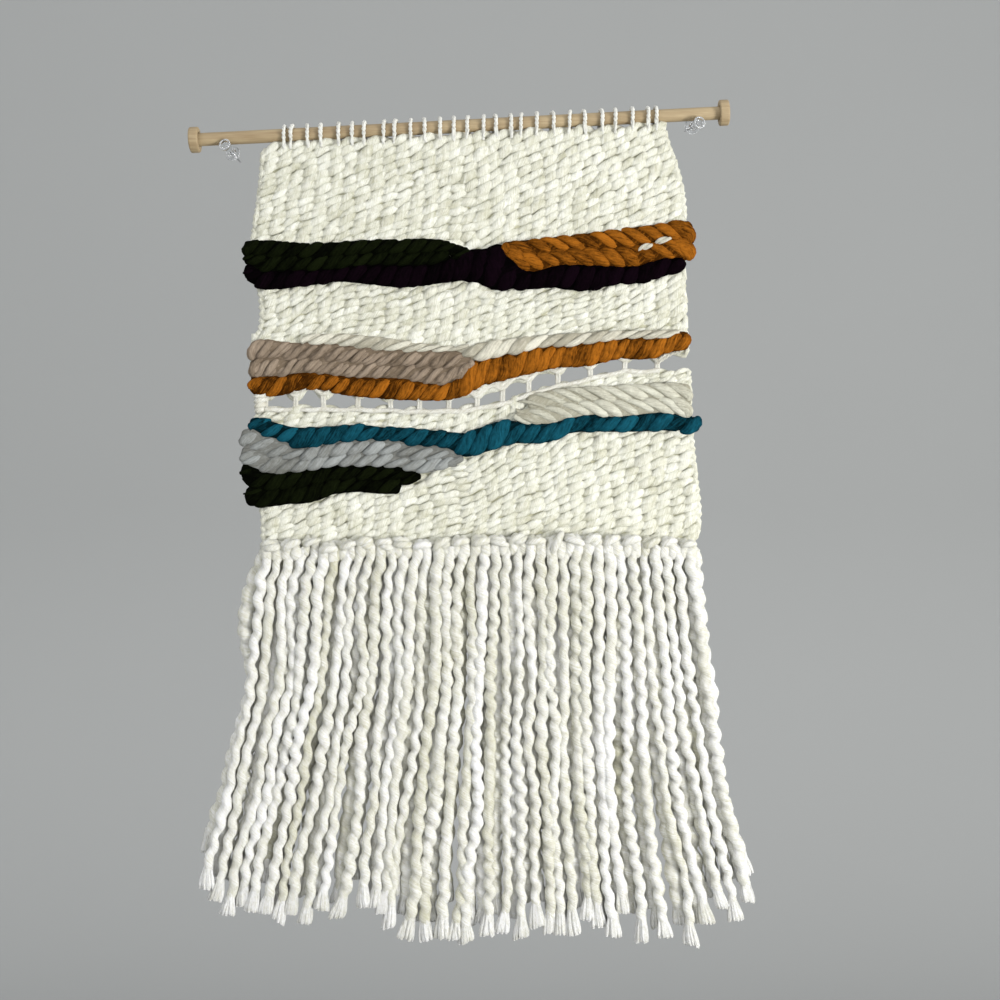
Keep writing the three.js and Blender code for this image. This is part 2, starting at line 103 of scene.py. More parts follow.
# Edges of the soumak bands, from the top one down
FIRST_TOP = {
    "x": (-141.5, -138, -117, -94, -63, -24, -8, 0.5, 7, 16, 25.5, 46, 77, 101, 132, 147, 151.5),
    "z": (-81, -75.5, -75.5, -77, -75, -74, -75.5, -79, -81, -81.5, -77, -74.5, -71, -68, -64, -62.5, -66.5),
}
PURPLE_TOP = {
    "x": (-141.5, -130, -111, -85, -62, -26, -5, 7, 16, 25.5, 37, 45, 64, 93, 116, 132, 151.5),
    "z": (-88, -95, -95, -94, -91.5, -91.5, -87.5, -82, -81.5, -78.5, -89.5, -96, -91.5, -92, -92, -87,
          -87.5),
}
FIRST_BOTTOM = {
    "x": (-141.5, -133, -125, -110, -78, -63, -36, -16, 7, 23, 62, 77, 101, 116, 132, 145.5),
    "z": (-96.5, -105.5, -107, -105.5, -101.5, -103, -105.5, -103, -101.5, -107.5, -105.5, -108, -103.5,
          -102.5, -98, -93),
}
SECOND_TOP = {
    "x": (-138, -129, -114, -104, -83, -62, -41, -15, 0.5, 20, 41, 62, 103, 148),
    "z": (-141, -139, -141, -137.5, -135.5, -137, -139.5, -143, -143.5, -140.5, -138, -136, -134, -133),
}
TAUPE_TOP = {
    "x": (-138, -129, -114, -101, -85, -72, -56, -40, -20, -7, 3, 12.5),
    "z": (-141, -139, -141, -142, -142.5, -144.5, -146, -147, -147, -147, -150, -153),
}
OCHRE_TOP = {
    "x": (-138, -119, -104, -93, -72, -36, -21, -10, -2, 3, 10.5, 30, 51, 72, 103, 134, 140, 149),
    "z": (-164, -163.5, -161.5, -161.5, -164, -165.5, -168.5, -168.5, -166, -161, -153.5, -149.5, -144.5,
          -143.5, -139, -138, -135, -136),
}
SECOND_BOTTOM = {
    "x": (-138, -133, -119, -108, -88, -77, -36, -10, 0, 10, 30, 51, 62, 82, 93, 103, 121, 132, 149),
    "z": (-172, -175, -176, -172.5, -172, -175, -178.5, -178.5, -176.5, -170.5, -165, -160, -157.5, -156.5,
          -153.5, -152, -152, -148, -146),
}
CREAM_TOP = {
    "x": (33, 41, 51, 62, 72, 114, 134, 150),
    "z": (-186, -179, -174, -171.5, -170.5, -168.5, -167.5, -168),
}
TEAL_TOP = {
    "x": (-138, -129, -119, -104, -82, -62, -55, -38, -15, 3, 15, 32, 39, 56, 67, 85, 100, 134, 145, 156),
    "z": (-191, -189.5, -194.5, -196.5, -195.5, -194.5, -196.5, -196.5, -198.5, -200, -196, -191, -193.5,
          -194.5, -192, -188.5, -190, -187, -190, -189),
}
TEAL_BOTTOM = {
    "x": (-138, -129, -117, -104, -88, -68, -46, -30, -12, 3, 13, 34, 54, 69, 77, 114, 137, 145, 156),
    "z": (-197, -202, -205, -210.5, -207.5, -205, -205, -208.5, -209.5, -215.5, -213, -206.5, -206.5, -200,
          -199, -199, -198, -200, -198.5),
}
GREEN_TOP = {
    "x": (-143.5, -137, -124, -104, -82, -67, -41, -33, -25.5, -15, -5, 1.5),
    "z": (-218.5, -221.5, -226.5, -224.5, -221.5, -221.5, -222.5, -225, -226, -223.5, -219.5, -216.5),
}
THIRD_BOTTOM = {
    "x": (-143.5, -137, -130.5, -119, -98, -85, -67, -46, -39.5, -25.5),
    "z": (-234, -243.5, -248.5, -246, -244.5, -239.5, -237.5, -239, -235, -227),
}

# The open row: the bare warps between its gaps, the cord over the notch at its right end, and the yarns
# along its edges, each with its side of the row, its height over that edge and its two ends
BARS = {
    "x": (-131.5, -127, -107.5, -89.5, -67, -46, -27, -8, 10.5, 27, 44, 63, 84, 106.5, 127.5),
    "z": (-179.8, -179.6, -179.5, -179, -179, -180.5, -181.5, -181.5, -180, -175.5, -169.5, -164.5, -160.5,
          -155.5, -155.5),
    "tall": (6.5, 6.5, 6.5, 8, 8, 6, 5.7, 5.2, 5.7, 7.8, 7.3, 7.3, 4.6, 4.6, 4.8),
}
NOTCH_ARM = ((127, -154.2), (131, -151.2), (136.5, -147.6), (143, -145.8))
HEADINGS = ((-1, 0, -127, 129), (1, 0, -128, 127), (1, 2.6, -128, 127), (1, 5.2, -128, 127))

# Where each warp loop crosses the rod
LOOPS = (
    -114.6, -109.5, -100.2, -91.2, -79.5, -70.7, -62.7, -49.7, -42.5, -32.6, -24.2, -13.8, -4.6, 4.7,
    14.8, 22, 32.1, 39.3, 49.3, 59.2, 71.1, 79.4, 90.9, 100.2, 111.2, 121.4, 126.5,
)

# The fringe: its two sides, and where the front strands end
FRINGE_LEFT = {
    "z": (-533, -495, -475, -436, -400, -367, -324, -298, -272),
    "x": (-176, -167.5, -164, -153.5, -148, -141, -138.5, -137, -130),
}
FRINGE_RIGHT = {
    "z": (-533, -499, -476, -438, -405, -360, -319, -298, -272),
    "x": (197, 192, 186, 175.5, 169.5, 163, 159, 157, 154),
}
TIPS = {
    "x": (-166, -160.5, -152, -143, -136.5, -127, -121, -110, -101, -92, -77, -66, -56, -50, -45, -33, -24.5,
          -13.5, -2, 4, 16, 29.5, 39, 50, 59, 65, 73, 83, 89, 98, 104, 119, 133, 149.5, 158.5, 168.5,
          180, 189),
    "z": (-495, -503, -512, -507, -510, -511, -516, -512, -518, -509, -514, -507, -507, -511, -521, -528,
          -529, -528, -528, -530, -526, -524, -527, -520, -524, -525, -525, -516, -520, -526, -511, -530,
          -527, -532, -518, -508, -516, -504),
}
STRANDS = len(TIPS["x"])
KNOTS = 23

# The fringe's two layers: depth, strands, points in each strand, fullness and sides of a strand
LAYERS = (("front", -11.4, STRANDS, 200, 1.0, 7), ("back", -5.4, 52, 150, 1.3, 6))

# A strand's cut end: places along its core with their fullness, and a lock's half thickness from root to tip
CORE_AT = np.array([0, 0.15, 0.3, 0.45, 0.6, 0.75, 0.88, 0.95, 1.0])
CORE_FULL = np.array([1, 1, 1, 1, 1, 1, 0.98, 0.85, 0.55])
LOCK_THICK = np.array([0.5, 0.9, 1.15, 1.3, 1.25, 0.7])


def read(keys, values, at):
    """A smooth value read off a table between its rows, with flat ends."""
    keys, values = np.asarray(keys, float), np.asarray(values, float)
    slopes = np.zeros(len(keys))
    slopes[1:-1] = (values[2:] - values[:-2]) / (keys[2:] - keys[:-2])
    at = np.clip(np.asarray(at, float), keys[0], keys[-1])
    i = np.clip(np.searchsorted(keys, at, side="right") - 1, 0, len(keys) - 2)
    span = keys[i + 1] - keys[i]
    t = (at - keys[i]) / span
    near = values[i] + slopes[i] * span * t * (1 - t) ** 2
    far = (values[i + 1] - values[i]) * t * t * (3 - 2 * t)
    return near + far - slopes[i + 1] * span * t * t * (1 - t)


def along(table, x):
    """Height of an edge at x, and of the highest where table is a list of edges."""
    if isinstance(table, list):
        return np.maximum.reduce([along(each, x) for each in table])
    return read(table["x"], table["z"], x)


def across(table, z):
    """Place of a side edge at height z."""
    return read(table["z"], table["x"], z)


def mix(a, b, t):
    """The value that lies a share t of the way from a to b."""
    return a + (b - a) * t


def route(x, y, z):
    """Points of a line from its three coordinates, any of which may be a single number."""
    return np.stack(np.broadcast_arrays(x, y, z), 1)


def lengths(points):
    """Length of a line up to each of its points."""
    steps = np.linalg.norm(np.diff(points, axis=0), axis=1)
    return np.concatenate([[0], np.cumsum(steps)])


def taper(t, share, power=3):
    """1 in a yarn's middle, where t is 0, and less by share at its ends, where t is -1 and 1."""
    return 1 - share * np.abs(t) ** power


def wander(rng, count, spacing, size):
    """A smooth random line of count values about zero, which turns about every spacing values."""
    knots = rng.normal(0, size, int(count / spacing) + 3)
    return read(np.arange(len(knots)), knots, np.linspace(0, count / spacing, count))


# Half thickness of one ply of two as a share of the yarn's, and the shift of the fibres from yarn to yarn
PLY_SHARE = 0.58
FIBRE_SHIFT = 0.013


class Yarns:
    """The guide lines that the yarns of one piece follow, with their half thickness at each point."""

    def __init__(self):
        self.points, self.edges = [], []
        self.values = {"thick": [], "flat": [], "run": [], "shade": []}
        self.count = 0

    def lay(self, points, thick, flat=1.0, shade=0.5):
        """A single yarn: its half thickness, its depth as a share of its width, and how pale it is."""
        points = np.asarray(points, float)
        n = len(points)
        self.points.append(points)
        self.edges.append(np.stack([np.arange(n - 1), np.arange(1, n)], 1) + self.count)
        self.values["thick"].append(np.broadcast_to(thick, n) * MM)
        self.values["flat"].append(np.broadcast_to(flat, n))
        self.values["run"].append(lengths(points) * MM + self.count * FIBRE_SHIFT)
        self.values["shade"].append(np.broadcast_to(shade, n))
        self.count += n

    def lay_plies(self, points, thick, plies, lay_length, start, flat=1.0, shade=0.5):
        """A yarn of one ply, or of two that wind round its own line, one turn every lay_length."""
        points = np.asarray(points, float)
        thick = np.broadcast_to(thick, len(points))
        if plies == 1:
            self.lay(points, thick, flat, shade)
            return
        tangent = np.gradient(points, axis=0)
        tangent /= np.linalg.norm(tangent, axis=1)[:, None]
        side = np.cross(tangent, (0.0, 1.0, 0.0))
        side /= np.maximum(np.linalg.norm(side, axis=1), 0.05)[:, None]
        out = np.cross(side, tangent)
        turn = start + 2 * math.pi * lengths(points) / lay_length
        for k in range(plies):
            angle = turn + 2 * math.pi * k / plies
            reach = ((1 - PLY_SHARE) * thick)[:, None]
            offset = side * np.cos(angle)[:, None] + out * np.sin(angle)[:, None]
            self.lay(points + offset * reach, thick * PLY_SHARE, flat, shade)


def socket(group, name, kind, default=None, low=None, high=None):
    """An input of a node group, with its default and limits."""
    made = group.interface.new_socket(name, in_out="INPUT", socket_type=kind)
    if default is not None:
        made.default_value = default
    if low is not None:
        made.min_value, made.max_value = low, high


class Net:
    """Short words for building a node tree."""

    def __init__(self, tree):
        self.tree = tree

    def node(self, kind, inputs=(), **settings):
        made = self.tree.nodes.new(kind)
        for key, value in settings.items():
            setattr(made, key, value)
        self.fill(made, dict(inputs))
        return made

    def fill(self, node, inputs):
        """Links an input where its value is a socket, and sets it otherwise."""
        for key, value in inputs.items():
            if isinstance(value, bpy.types.NodeSocket):
                self.tree.links.new(value, node.inputs[key])
            else:
                node.inputs[key].default_value = value

    def maths(self, operation, *values):
        return self.node("ShaderNodeMath", enumerate(values), operation=operation).outputs[0]

    def total(self, first, *others):
        for value in others:
            first = self.maths("ADD", first, value)
        return first

    def swing(self, value, size):
        """A value about 0.5 made one about zero, and size times as large."""
        return self.maths("MULTIPLY", self.maths("SUBTRACT", value, 0.5), size)

    def vector(self, operation, *values):
        return self.node("ShaderNodeVectorMath", enumerate(values), operation=operation).outputs[0]

    def joined(self, x, y, z):
        return self.node("ShaderNodeCombineXYZ", {"X": x, "Y": y, "Z": z}).outputs[0]

    def noise(self, spot, scale, detail=2.0, rough=0.5):
        inputs = {"Vector": spot, "Scale": scale, "Detail": detail, "Roughness": rough}
        return self.node("ShaderNodeTexNoise", inputs).outputs[0]

    def object_spot(self):
        return self.node("ShaderNodeTexCoord").outputs["Object"]

    def ramp(self, value, low, high, ends=(0.0, 1.0)):
        """A colour that goes from low to high while the value goes from one end to the other."""
        made = self.node("ShaderNodeValToRGB", {"Fac": value})
        for element, colour, end in zip(made.color_ramp.elements, (low, high), ends):
            element.position = end
            element.color = [*colour, 1]
        return made.outputs["Color"]

    def bump(self, height, strength, distance):
        inputs = {"Height": height, "Strength": strength, "Distance": distance}
        return self.node("ShaderNodeBump", inputs).outputs[0]

    def changed(self, kind, geometry, inputs=(), **settings):
        """Geometry after a node that takes it in and gives it out."""
        inputs = {"Geometry": geometry, **dict(inputs)}
        return self.node("GeometryNode" + kind, inputs, **settings).outputs["Geometry"]

    def named(self, name, kind="FLOAT"):
        made = self.node("GeometryNodeInputNamedAttribute", {"Name": name}, data_type=kind)
        return made.outputs["Attribute"]

    def store(self, geometry, name, value, kind="FLOAT_VECTOR"):
        inputs = {"Name": name, "Value": value}
        return self.changed("StoreNamedAttribute", geometry, inputs, data_type=kind, domain="POINT")


def yarn_tree():
    """A geometry node group that spins a round yarn along each guide line of a mesh."""
    tree = bpy.data.node_groups.new("Spun Yarn", "GeometryNodeTree")
    tree.is_modifier = True
    tree.interface.new_socket("Geometry", in_out="OUTPUT", socket_type="NodeSocketGeometry")
    socket(tree, "Guide Lines", "NodeSocketGeometry")
    socket(tree, "Sides", "NodeSocketInt", 8, 3, 32)
    socket(tree, "Fullness", "NodeSocketFloat", 1.0, 0.1, 3.0)
    socket(tree, "Lump Height", "NodeSocketFloat", 0.12, 0.0, 1.0)
    socket(tree, "Lumps per Metre", "NodeSocketFloat", 260.0, 1.0, 2000.0)
    socket(tree, "Yarn Finish", "NodeSocketMaterial")
    net = Net(tree)
    given = net.node("NodeGroupInput").outputs

    curve = net.node("GeometryNodeMeshToCurve", {"Mesh": given["Guide Lines"]}).outputs["Curve"]
    spot = net.node("GeometryNodeInputPosition").outputs[0]
    curve = net.store(curve, "centre", spot)
    circle = net.node("GeometryNodeCurvePrimitiveCircle", {"Resolution": given["Sides"], "Radius": 1.0})
    ring = net.store(circle.outputs["Curve"], "around", spot)
    width = net.maths("MULTIPLY", net.named("thick"), given["Fullness"])
    tube = net.node(
        "GeometryNodeCurveToMesh",
        {"Curve": curve, "Profile Curve": ring, "Scale": width, "Fill Caps": True},
    ).outputs["Mesh"]

    around = net.node("ShaderNodeSeparateXYZ", {0: net.named("around", "FLOAT_VECTOR")}).outputs
    tube = net.store(tube, "lay", net.joined(net.named("run"), around["X"], around["Y"]))

    centre = net.named("centre", "FLOAT_VECTOR")
    offset = net.vector("SUBTRACT", spot, centre)
    offset = net.vector("MULTIPLY", offset, net.joined(1.0, net.named("flat"), 1.0))
    lump = net.swing(net.noise(spot, given["Lumps per Metre"]), given["Lump Height"])
    grow = net.maths("ADD", net.maths("MULTIPLY", lump, 2.0), 1.0)
    grown = net.node("ShaderNodeVectorMath", {0: offset, "Scale": grow}, operation="SCALE").outputs[0]
    tube = net.changed("SetPosition", tube, {"Position": net.vector("ADD", centre, grown)})

    for name in ("centre", "around", "run", "thick", "flat"):
        tube = net.changed("RemoveAttribute", tube, {"Name": name})
    tube = net.changed("SetShadeSmooth", tube)
    tube = net.changed("RealizeInstances", tube)
    tube = net.changed("SetMaterial", tube, {"Material": given["Yarn Finish"]})
    net.node("NodeGroupOutput", {0: tube})
    return tree


def spin(name, yarns, material, sides=8, lumps=0.12, lump_rate=260.0):
    """Turns guide lines into a finished piece of yarn."""
    mesh = bpy.data.meshes.new(name + "_guides")
    points = np.concatenate(yarns.points) * MM
    mesh.from_pydata(points.tolist(), np.concatenate(yarns.edges).tolist(), [])
    for key, parts in yarns.values.items():
        attribute = mesh.attributes.new(key, "FLOAT", "POINT")
        attribute.data.foreach_set("value", np.concatenate(parts).astype(np.float32))
    guides = bpy.data.objects.new(name + "_guides", mesh)
    bpy.context.scene.collection.objects.link(guides)
    tree = bpy.data.node_groups.get("Spun Yarn") or yarn_tree()
    modifier = guides.modifiers.new("Spun Yarn", "NODES")
    modifier.node_group = tree
    ids = {item.name: item.identifier for item in tree.interface.items_tree if item.in_out == "INPUT"}
    modifier[ids["Sides"]] = sides
    modifier[ids["Fullness"]] = bpy.context.scene.hanging_sizes.fullness
    modifier[ids["Lump Height"]] = lumps
    modifier[ids["Lumps per Metre"]] = lump_rate
    modifier[ids["Yarn Finish"]] = material
    graph = bpy.context.evaluated_depsgraph_get()
    graph.update()
    made = bpy.data.meshes.new_from_object(guides.evaluated_get(graph))
    bpy.data.objects.remove(guides)
    bpy.data.meshes.remove(mesh)
    piece = bpy.data.objects.new(name, made)
    bpy.context.scene.collection.objects.link(piece)
    if not made.materials:
        made.materials.append(material)
    if not made.polygons:
        raise RuntimeError(name + " has no faces")
    return piece


def finish_piece(piece, slot, *nodes):
    """Gives a finished piece its body, and hides the solids that it replaces; its slot is not used."""
    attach(piece, BODY)
    if nodes:
        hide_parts(*nodes)


# Finishes


def shader(name):
    """A new material, with the short words for its nodes and its shader."""
    material = bpy.data.materials.new(name)
    material.use_nodes = True
    return material, Net(material.node_tree), material.node_tree.nodes["Principled BSDF"]


def scaled(colour, share, most=1.0):
    """A colour made darker or brighter, with no channel over most."""
    return [min(most, c * share) for c in colour]


def yarn_finish(name, colour, deep, bright, streak, nap, twist):
    """Yarn: fibres that wind along it, thick and thin patches of dye, a soft nap, and a painted warm tint of
    shade on its dark tones.
    """
    name = "spun_" + name
    if name in bpy.data.materials:
        return bpy.data.materials[name]
    material, net, skin = shader(name)
    lay = net.node("ShaderNodeAttribute", attribute_name="lay").outputs["Vector"]
    run = net.node("ShaderNodeSeparateXYZ", {0: lay}).outputs["X"]
    wound = net.node(
        "ShaderNodeVectorRotate",
        {"Vector": lay, "Angle": net.maths("MULTIPLY", run, twist)},
        rotation_type="X_AXIS",
    ).outputs[0]
    spot = net.object_spot()
    fibres = net.vector("MULTIPLY", wound, (60.0, 1.5, 1.5))
    strand = net.noise(fibres, scale=2.4, detail=5.0, rough=0.65)
    dye = net.noise(spot, scale=75.0, detail=3.0)
    fuzz = net.noise(spot, scale=1500.0, detail=4.0, rough=0.7)
    mottle = net.noise(spot, scale=330.0, detail=3.0)
    # Each yarn's paleness, low on the yarns that are painted dark as the shade in crevices
    shade = net.node("ShaderNodeAttribute", attribute_name="shade").outputs["Fac"]

    shares = ((strand, 1.5 * streak), (dye, 0.35), (fuzz, 0.5), (mottle, 0.6))
    tone = net.total(*(net.swing(value, size) for value, size in shares), shade)
    # Painted shade: the dark end of the tone is tinted warm like cotton in shade, for fibres darker at
    # random and for yarns painted dark as shade
    painted_shadow_warmth = (1.0, 0.96, 0.88)
    low = [c * deep * warm for c, warm in zip(colour, painted_shadow_warmth)]
    height = net.maths("ADD", strand, net.maths("MULTIPLY", fuzz, 0.6))
    net.fill(skin, {
        "Base Color": net.ramp(tone, low, scaled(colour, bright, most=0.97), ends=(0.1, 0.9)),
        "Normal": net.bump(height, strength=0.9, distance=0.0016),
        "Roughness": 0.9,
        "Specular IOR Level": 0.02 + nap / 2,
        "Sheen Weight": nap,
        "Sheen Roughness": 0.6,
        "Sheen Tint": [0.5 + 0.5 * c for c in colour] + [1],
    })
    return material


def wood_finish(name, colour):
    """Pale turned wood: long grain along x, fine pores and faint growth bands."""
    material, net, skin = shader(name)
    spot = net.object_spot()
    long = net.vector("MULTIPLY", spot, (9.0, 150.0, 150.0))
    fine = net.vector("MULTIPLY", spot, (60.0, 1400.0, 1400.0))
    grain = net.noise(long, scale=3.0, detail=6.0, rough=0.6)
    pores = net.noise(fine, scale=1.6, detail=3.0)
    cloud = net.noise(spot, scale=22.0)
    tone = net.total(
        net.maths("MULTIPLY", grain, 0.75), net.maths("MULTIPLY", pores, 0.35), net.swing(cloud, 0.5)
    )
    darkness = (0.66, 0.58, 0.5)
    low = [c * share for c, share in zip(colour, darkness)]
    net.fill(skin, {
        "Base Color": net.ramp(tone, low, scaled(colour, 1.18), ends=(0.3, 0.78)),
        "Normal": net.bump(tone, strength=0.35, distance=0.0003),
        "Roughness": 0.58,
        "Specular IOR Level": 0.35,
    })
    return material


def plastic_finish(name, clear, rough):
    """Moulded plastic, clear or milky, with faint flow lines."""
    material, net, skin = shader(name)
    flow = net.noise(net.object_spot(), scale=260.0, detail=1.0)
    net.fill(skin, {
        "Base Color": (0.97, 0.98, 0.99, 1),
        "Normal": net.bump(flow, strength=0.05, distance=0.0002),
        "Transmission Weight": clear,
        "Roughness": rough,
        "IOR": 1.49,
    })
    return material


def steel_finish(name):
    """Drawn steel wire with fine lengthwise marks."""
    material, net, skin = shader(name)
    marks = net.noise(net.vector("MULTIPLY", net.object_spot(), (3000.0, 200.0, 3000.0)), scale=1.0)
    rough = net.node("ShaderNodeMapRange", {"Value": marks, "To Min": 0.18, "To Max": 0.4}).outputs[0]
    net.fill(skin, {"Base Color": (0.62, 0.62, 0.63, 1), "Roughness": rough, "Metallic": 1.0})
    return material


def studio_finish(name, colour):
    """Plain matt paint with a faint unevenness."""
    material, net, skin = shader(name)
    cloud = net.noise(net.object_spot(), scale=3.0, detail=3.0)
    net.fill(skin, {
        "Base Color": net.ramp(cloud, scaled(colour, 0.985), scaled(colour, 1.015)),
        "Roughness": 0.95,
        "Specular IOR Level": 0.1,
    })
    return material


def mesh_piece(name, verts, faces, material, smooth=True):
    """A piece from its points in metres and its faces, with the seams closed and all faces outwards."""
    mesh = bpy.data.meshes.new(name)
    mesh.from_pydata([tuple(v) for v in verts], [], faces)
    body = bmesh.new()
    body.from_mesh(mesh)
    bmesh.ops.remove_doubles(body, verts=body.verts, dist=1e-6)
    bmesh.ops.recalc_face_normals(body, faces=body.faces)
    body.to_mesh(mesh)
    body.free()
    mesh.polygons.foreach_set("use_smooth", [smooth] * len(mesh.polygons))
    mesh.materials.append(material)
    piece = bpy.data.objects.new(name, mesh)
    bpy.context.scene.collection.objects.link(piece)
    return piece


def lathe(name, profile, place, material, sides=48):
    """A closed turned piece: profile of (radius, height) in mm, turned about +Y and put in its place."""
    verts, faces = [], []
    for radius, height in profile:
        for k in range(sides):
            angle = 2 * math.pi * k / sides
            spot = Vector((radius * math.cos(angle), height, radius * math.sin(angle))) * MM
            verts.append(place @ spot)
    for i in range(len(profile) - 1):
        for k in range(sides):
            a, b = i * sides + k, i * sides + (k + 1) % sides
            faces.append((a, b, b + sides, a + sides))
    return mesh_piece(name, verts, faces, material)


def rounded(profile, edge, steps=4):
    """A profile whose corners are rounded, each by up to edge."""
    out = [profile[0]]
    for before, corner, after in zip(profile, profile[1:], profile[2:]):
        before, corner, after = Vector(before), Vector(corner), Vector(after)
        reach = min(edge, (before - corner).length / 2.1, (after - corner).length / 2.1)
        first = corner + (before - corner).normalized() * reach
        last = corner + (after - corner).normalized() * reach
        for k in range(steps + 1):
            t = k / steps
            out.append(tuple(first * (1 - t) ** 2 + corner * 2 * t * (1 - t) + last * t * t))
    out.append(profile[-1])
    return out


def bead(out, high, thick, steps=12):
    """The closed round profile of a ring: its distance from the axis, its height and its half thickness."""
    turns = [2 * math.pi * k / steps for k in range(steps + 1)]
    return [(out + thick * math.cos(a), high + thick * math.sin(a)) for a in turns]


# Woven ground


def open_edge(x, side):
    """Upper (side 1) or lower (side -1) edge of the open row: the upper one arches between the bars."""
    x = np.asarray(x, float)
    z = np.interp(x, BARS["x"], BARS["z"])
    tall = np.interp(x, BARS["x"], BARS["tall"])
    nearest = np.min(np.abs(x[..., None] - np.array(BARS["x"])), axis=-1)
    arch = 4.5
    hump = 1 - np.exp(-((nearest / arch) ** 2))
    offset = 1.2 + 4.4 * hump if side > 0 else 1.9 + 0.5 * hump
    return z + side * (tall / 2 + offset)


def below_edge(x):
    """Top of the bands under the open row."""
    cream_start = 36
    return np.where(np.asarray(x) > cream_start, along(CREAM_TOP, x), along(TEAL_TOP, x))


# Contours that the weft follows, with the number of the row that lies on each
UPPER_ROWS = (
    (0, lambda x: along(CLOTH_TOP, x) - TOP_GAP),
    (26, lambda x: along(FIRST_TOP, x)),
    (36, lambda x: along(FIRST_BOTTOM, x)),
    (51, lambda x: along(SECOND_TOP, x)),
    (61, lambda x: open_edge(x, 1)),
)
LOWER_ROWS = (
    (0, lambda x: open_edge(x, -1)),
    (5, below_edge),
    (14, lambda x: along(TEAL_BOTTOM, x)),
    (40, lambda x: along(CLOTH_BOTTOM, x) + 1.5),
)


def row_height(rows, number, x):
    """Height of a weft row at x."""
    for (first, top), (last, bottom) in zip(rows, rows[1:]):
        if number <= last:
            return mix(top(x), bottom(x), (number - first) / (last - first))
    return rows[-1][1](x)


def weave_point(rows, number, s):
    """x and z of a weft row at s, which counts warps from the left."""
    u = (np.asarray(s, float) + 0.5) / WARPS
    x = mix(*MEAN_SIDES, u)
    for _ in range(2):
        z = row_height(rows, number, x)
        x = mix(across(CLOTH_LEFT, z) + SIDE_GAP, across(CLOTH_RIGHT, z) - SIDE_GAP, u)
    return x, row_height(rows, number, x)


def in_band(x, z):
    """True where a soumak band lies."""
    found = np.zeros(np.shape(x), bool)
    for band in BANDS:
        inside = (x > band["from"]) & (x < band["to"])
        found |= inside & (z < along(band["top"], x)) & (z > along(band["bottom"], x))
    return found


def weft(rows, rng, sizes):
    """One yarn that goes to and fro over and under the warps, and is squeezed where its rows are close."""
    per_warp, free_pitch, tightest, loosest = 6, 2.6, 0.6, 1.12
    depth_in_band, band_lap = 0.9, 1.5
    turn_reach, turn_size = 1.1, 0.72
    half = sizes.weft_thickness / MM / 2
    steps = np.linspace(-0.5, WARPS - 0.5, WARPS * per_warp + 1)
    n = len(steps)
    last = rows[-1][0]
    path, thick, flat, shade = [], [], [], []
    for number in range(last + 1):
        s = steps if number % 2 == 0 else steps[::-1]
        x, z = weave_point(rows, number, s)
        above = row_height(rows, max(number - 1, 0), x)
        below = row_height(rows, min(number + 1, last), x)
        pitch = (above - below) / (2 if 0 < number < last else 1)
        squeeze = np.clip(pitch / free_pitch, tightest, loosest)
        phase = np.pi * (s - number + wander(rng, n, 20, 0.09))
        over = np.sign(np.cos(phase)) * np.abs(np.cos(phase)) ** 0.8
        rise = np.sin(phase) * (1 + wander(rng, n, 7, 0.25))
        cover = in_band(x, z + band_lap) & in_band(x, z - band_lap)
        reach = np.where(cover & (over > 0), depth_in_band, sizes.weft_depth / MM)
        fat = 1 + wander(rng, n, 5, 0.1) + rng.normal(0, 0.03)
        z = z + sizes.weft_slant / MM * rise * squeeze + wander(rng, n, 6, 0.42)
        y = MIDDLE - reach * over * fat + wander(rng, n, 12, 0.15)
        path.append(route(x + wander(rng, n, 8, 0.65), y, z))
        thick.append(half * squeeze * fat * (0.86 + 0.14 * np.abs(over)))
        flat.append(np.full(n, 0.8))
        shade.append(0.54 + wander(rng, n, 6, 0.1))
        if number == last:
            continue
        side = 1 if number % 2 == 0 else -1
        foot = float(row_height(rows, number + 1, x[-1]))
        turn = (path[-1][-1] + [x[-1], MIDDLE, foot]) / 2
        turn[0] = x[-1] + side * turn_reach
        path.append(turn[None])
        thick.append([half * turn_size])
        flat.append([0.9])
        shade.append([0.5])
    yarns = Yarns()
    yarns.lay(*(np.concatenate(parts) for parts in (path, thick, flat, shade)))
    return yarns


def ground_sheet(material):
    """The cloth's thin middle, on which the yarns lie: above and below the open row, and at each bar."""
    half, columns, bar_half, bar_lap = 0.6, 54, 0.8, 3
    verts, faces = [], []

    def slab(grid):
        start, wide = len(verts), len(grid[0])
        for depth in (MIDDLE - half, MIDDLE + half):
            verts.extend((x * MM, depth * MM, z * MM) for line in grid for x, z in line)
        many = len(grid) * wide
        for i in range(len(grid) - 1):
            for j in range(wide - 1):
                a = start + i * wide + j
                faces.append((a, a + 1, a + wide + 1, a + wide))
                faces.append((a + many, a + many + wide, a + many + wide + 1, a + many + 1))
        rim = [start + j for j in range(wide)]
        rim += [start + i * wide + wide - 1 for i in range(1, len(grid))]
        rim += [start + many - wide + j for j in range(wide - 2, -1, -1)]
        rim += [start + i * wide for i in range(len(grid) - 2, 0, -1)]
        for a, b in zip(rim, rim[1:] + rim[:1]):
            faces.append((a, b, b + many, a + many))

    for rows in (UPPER_ROWS, LOWER_ROWS):
        s = np.linspace(-0.42, WARPS - 0.58, columns)
        slab([list(zip(*weave_point(rows, number, s))) for number in range(rows[-1][0] + 1)])
    for x, z, tall in zip(BARS["x"], BARS["z"], BARS["tall"]):
        reach = tall / 2 + bar_lap
        slab([[(x - bar_half, end), (x + bar_half, end)] for end in (z + reach, z - reach)])
    return mesh_piece("ground_cloth", verts, faces, material, smooth=False)


# Bare warps


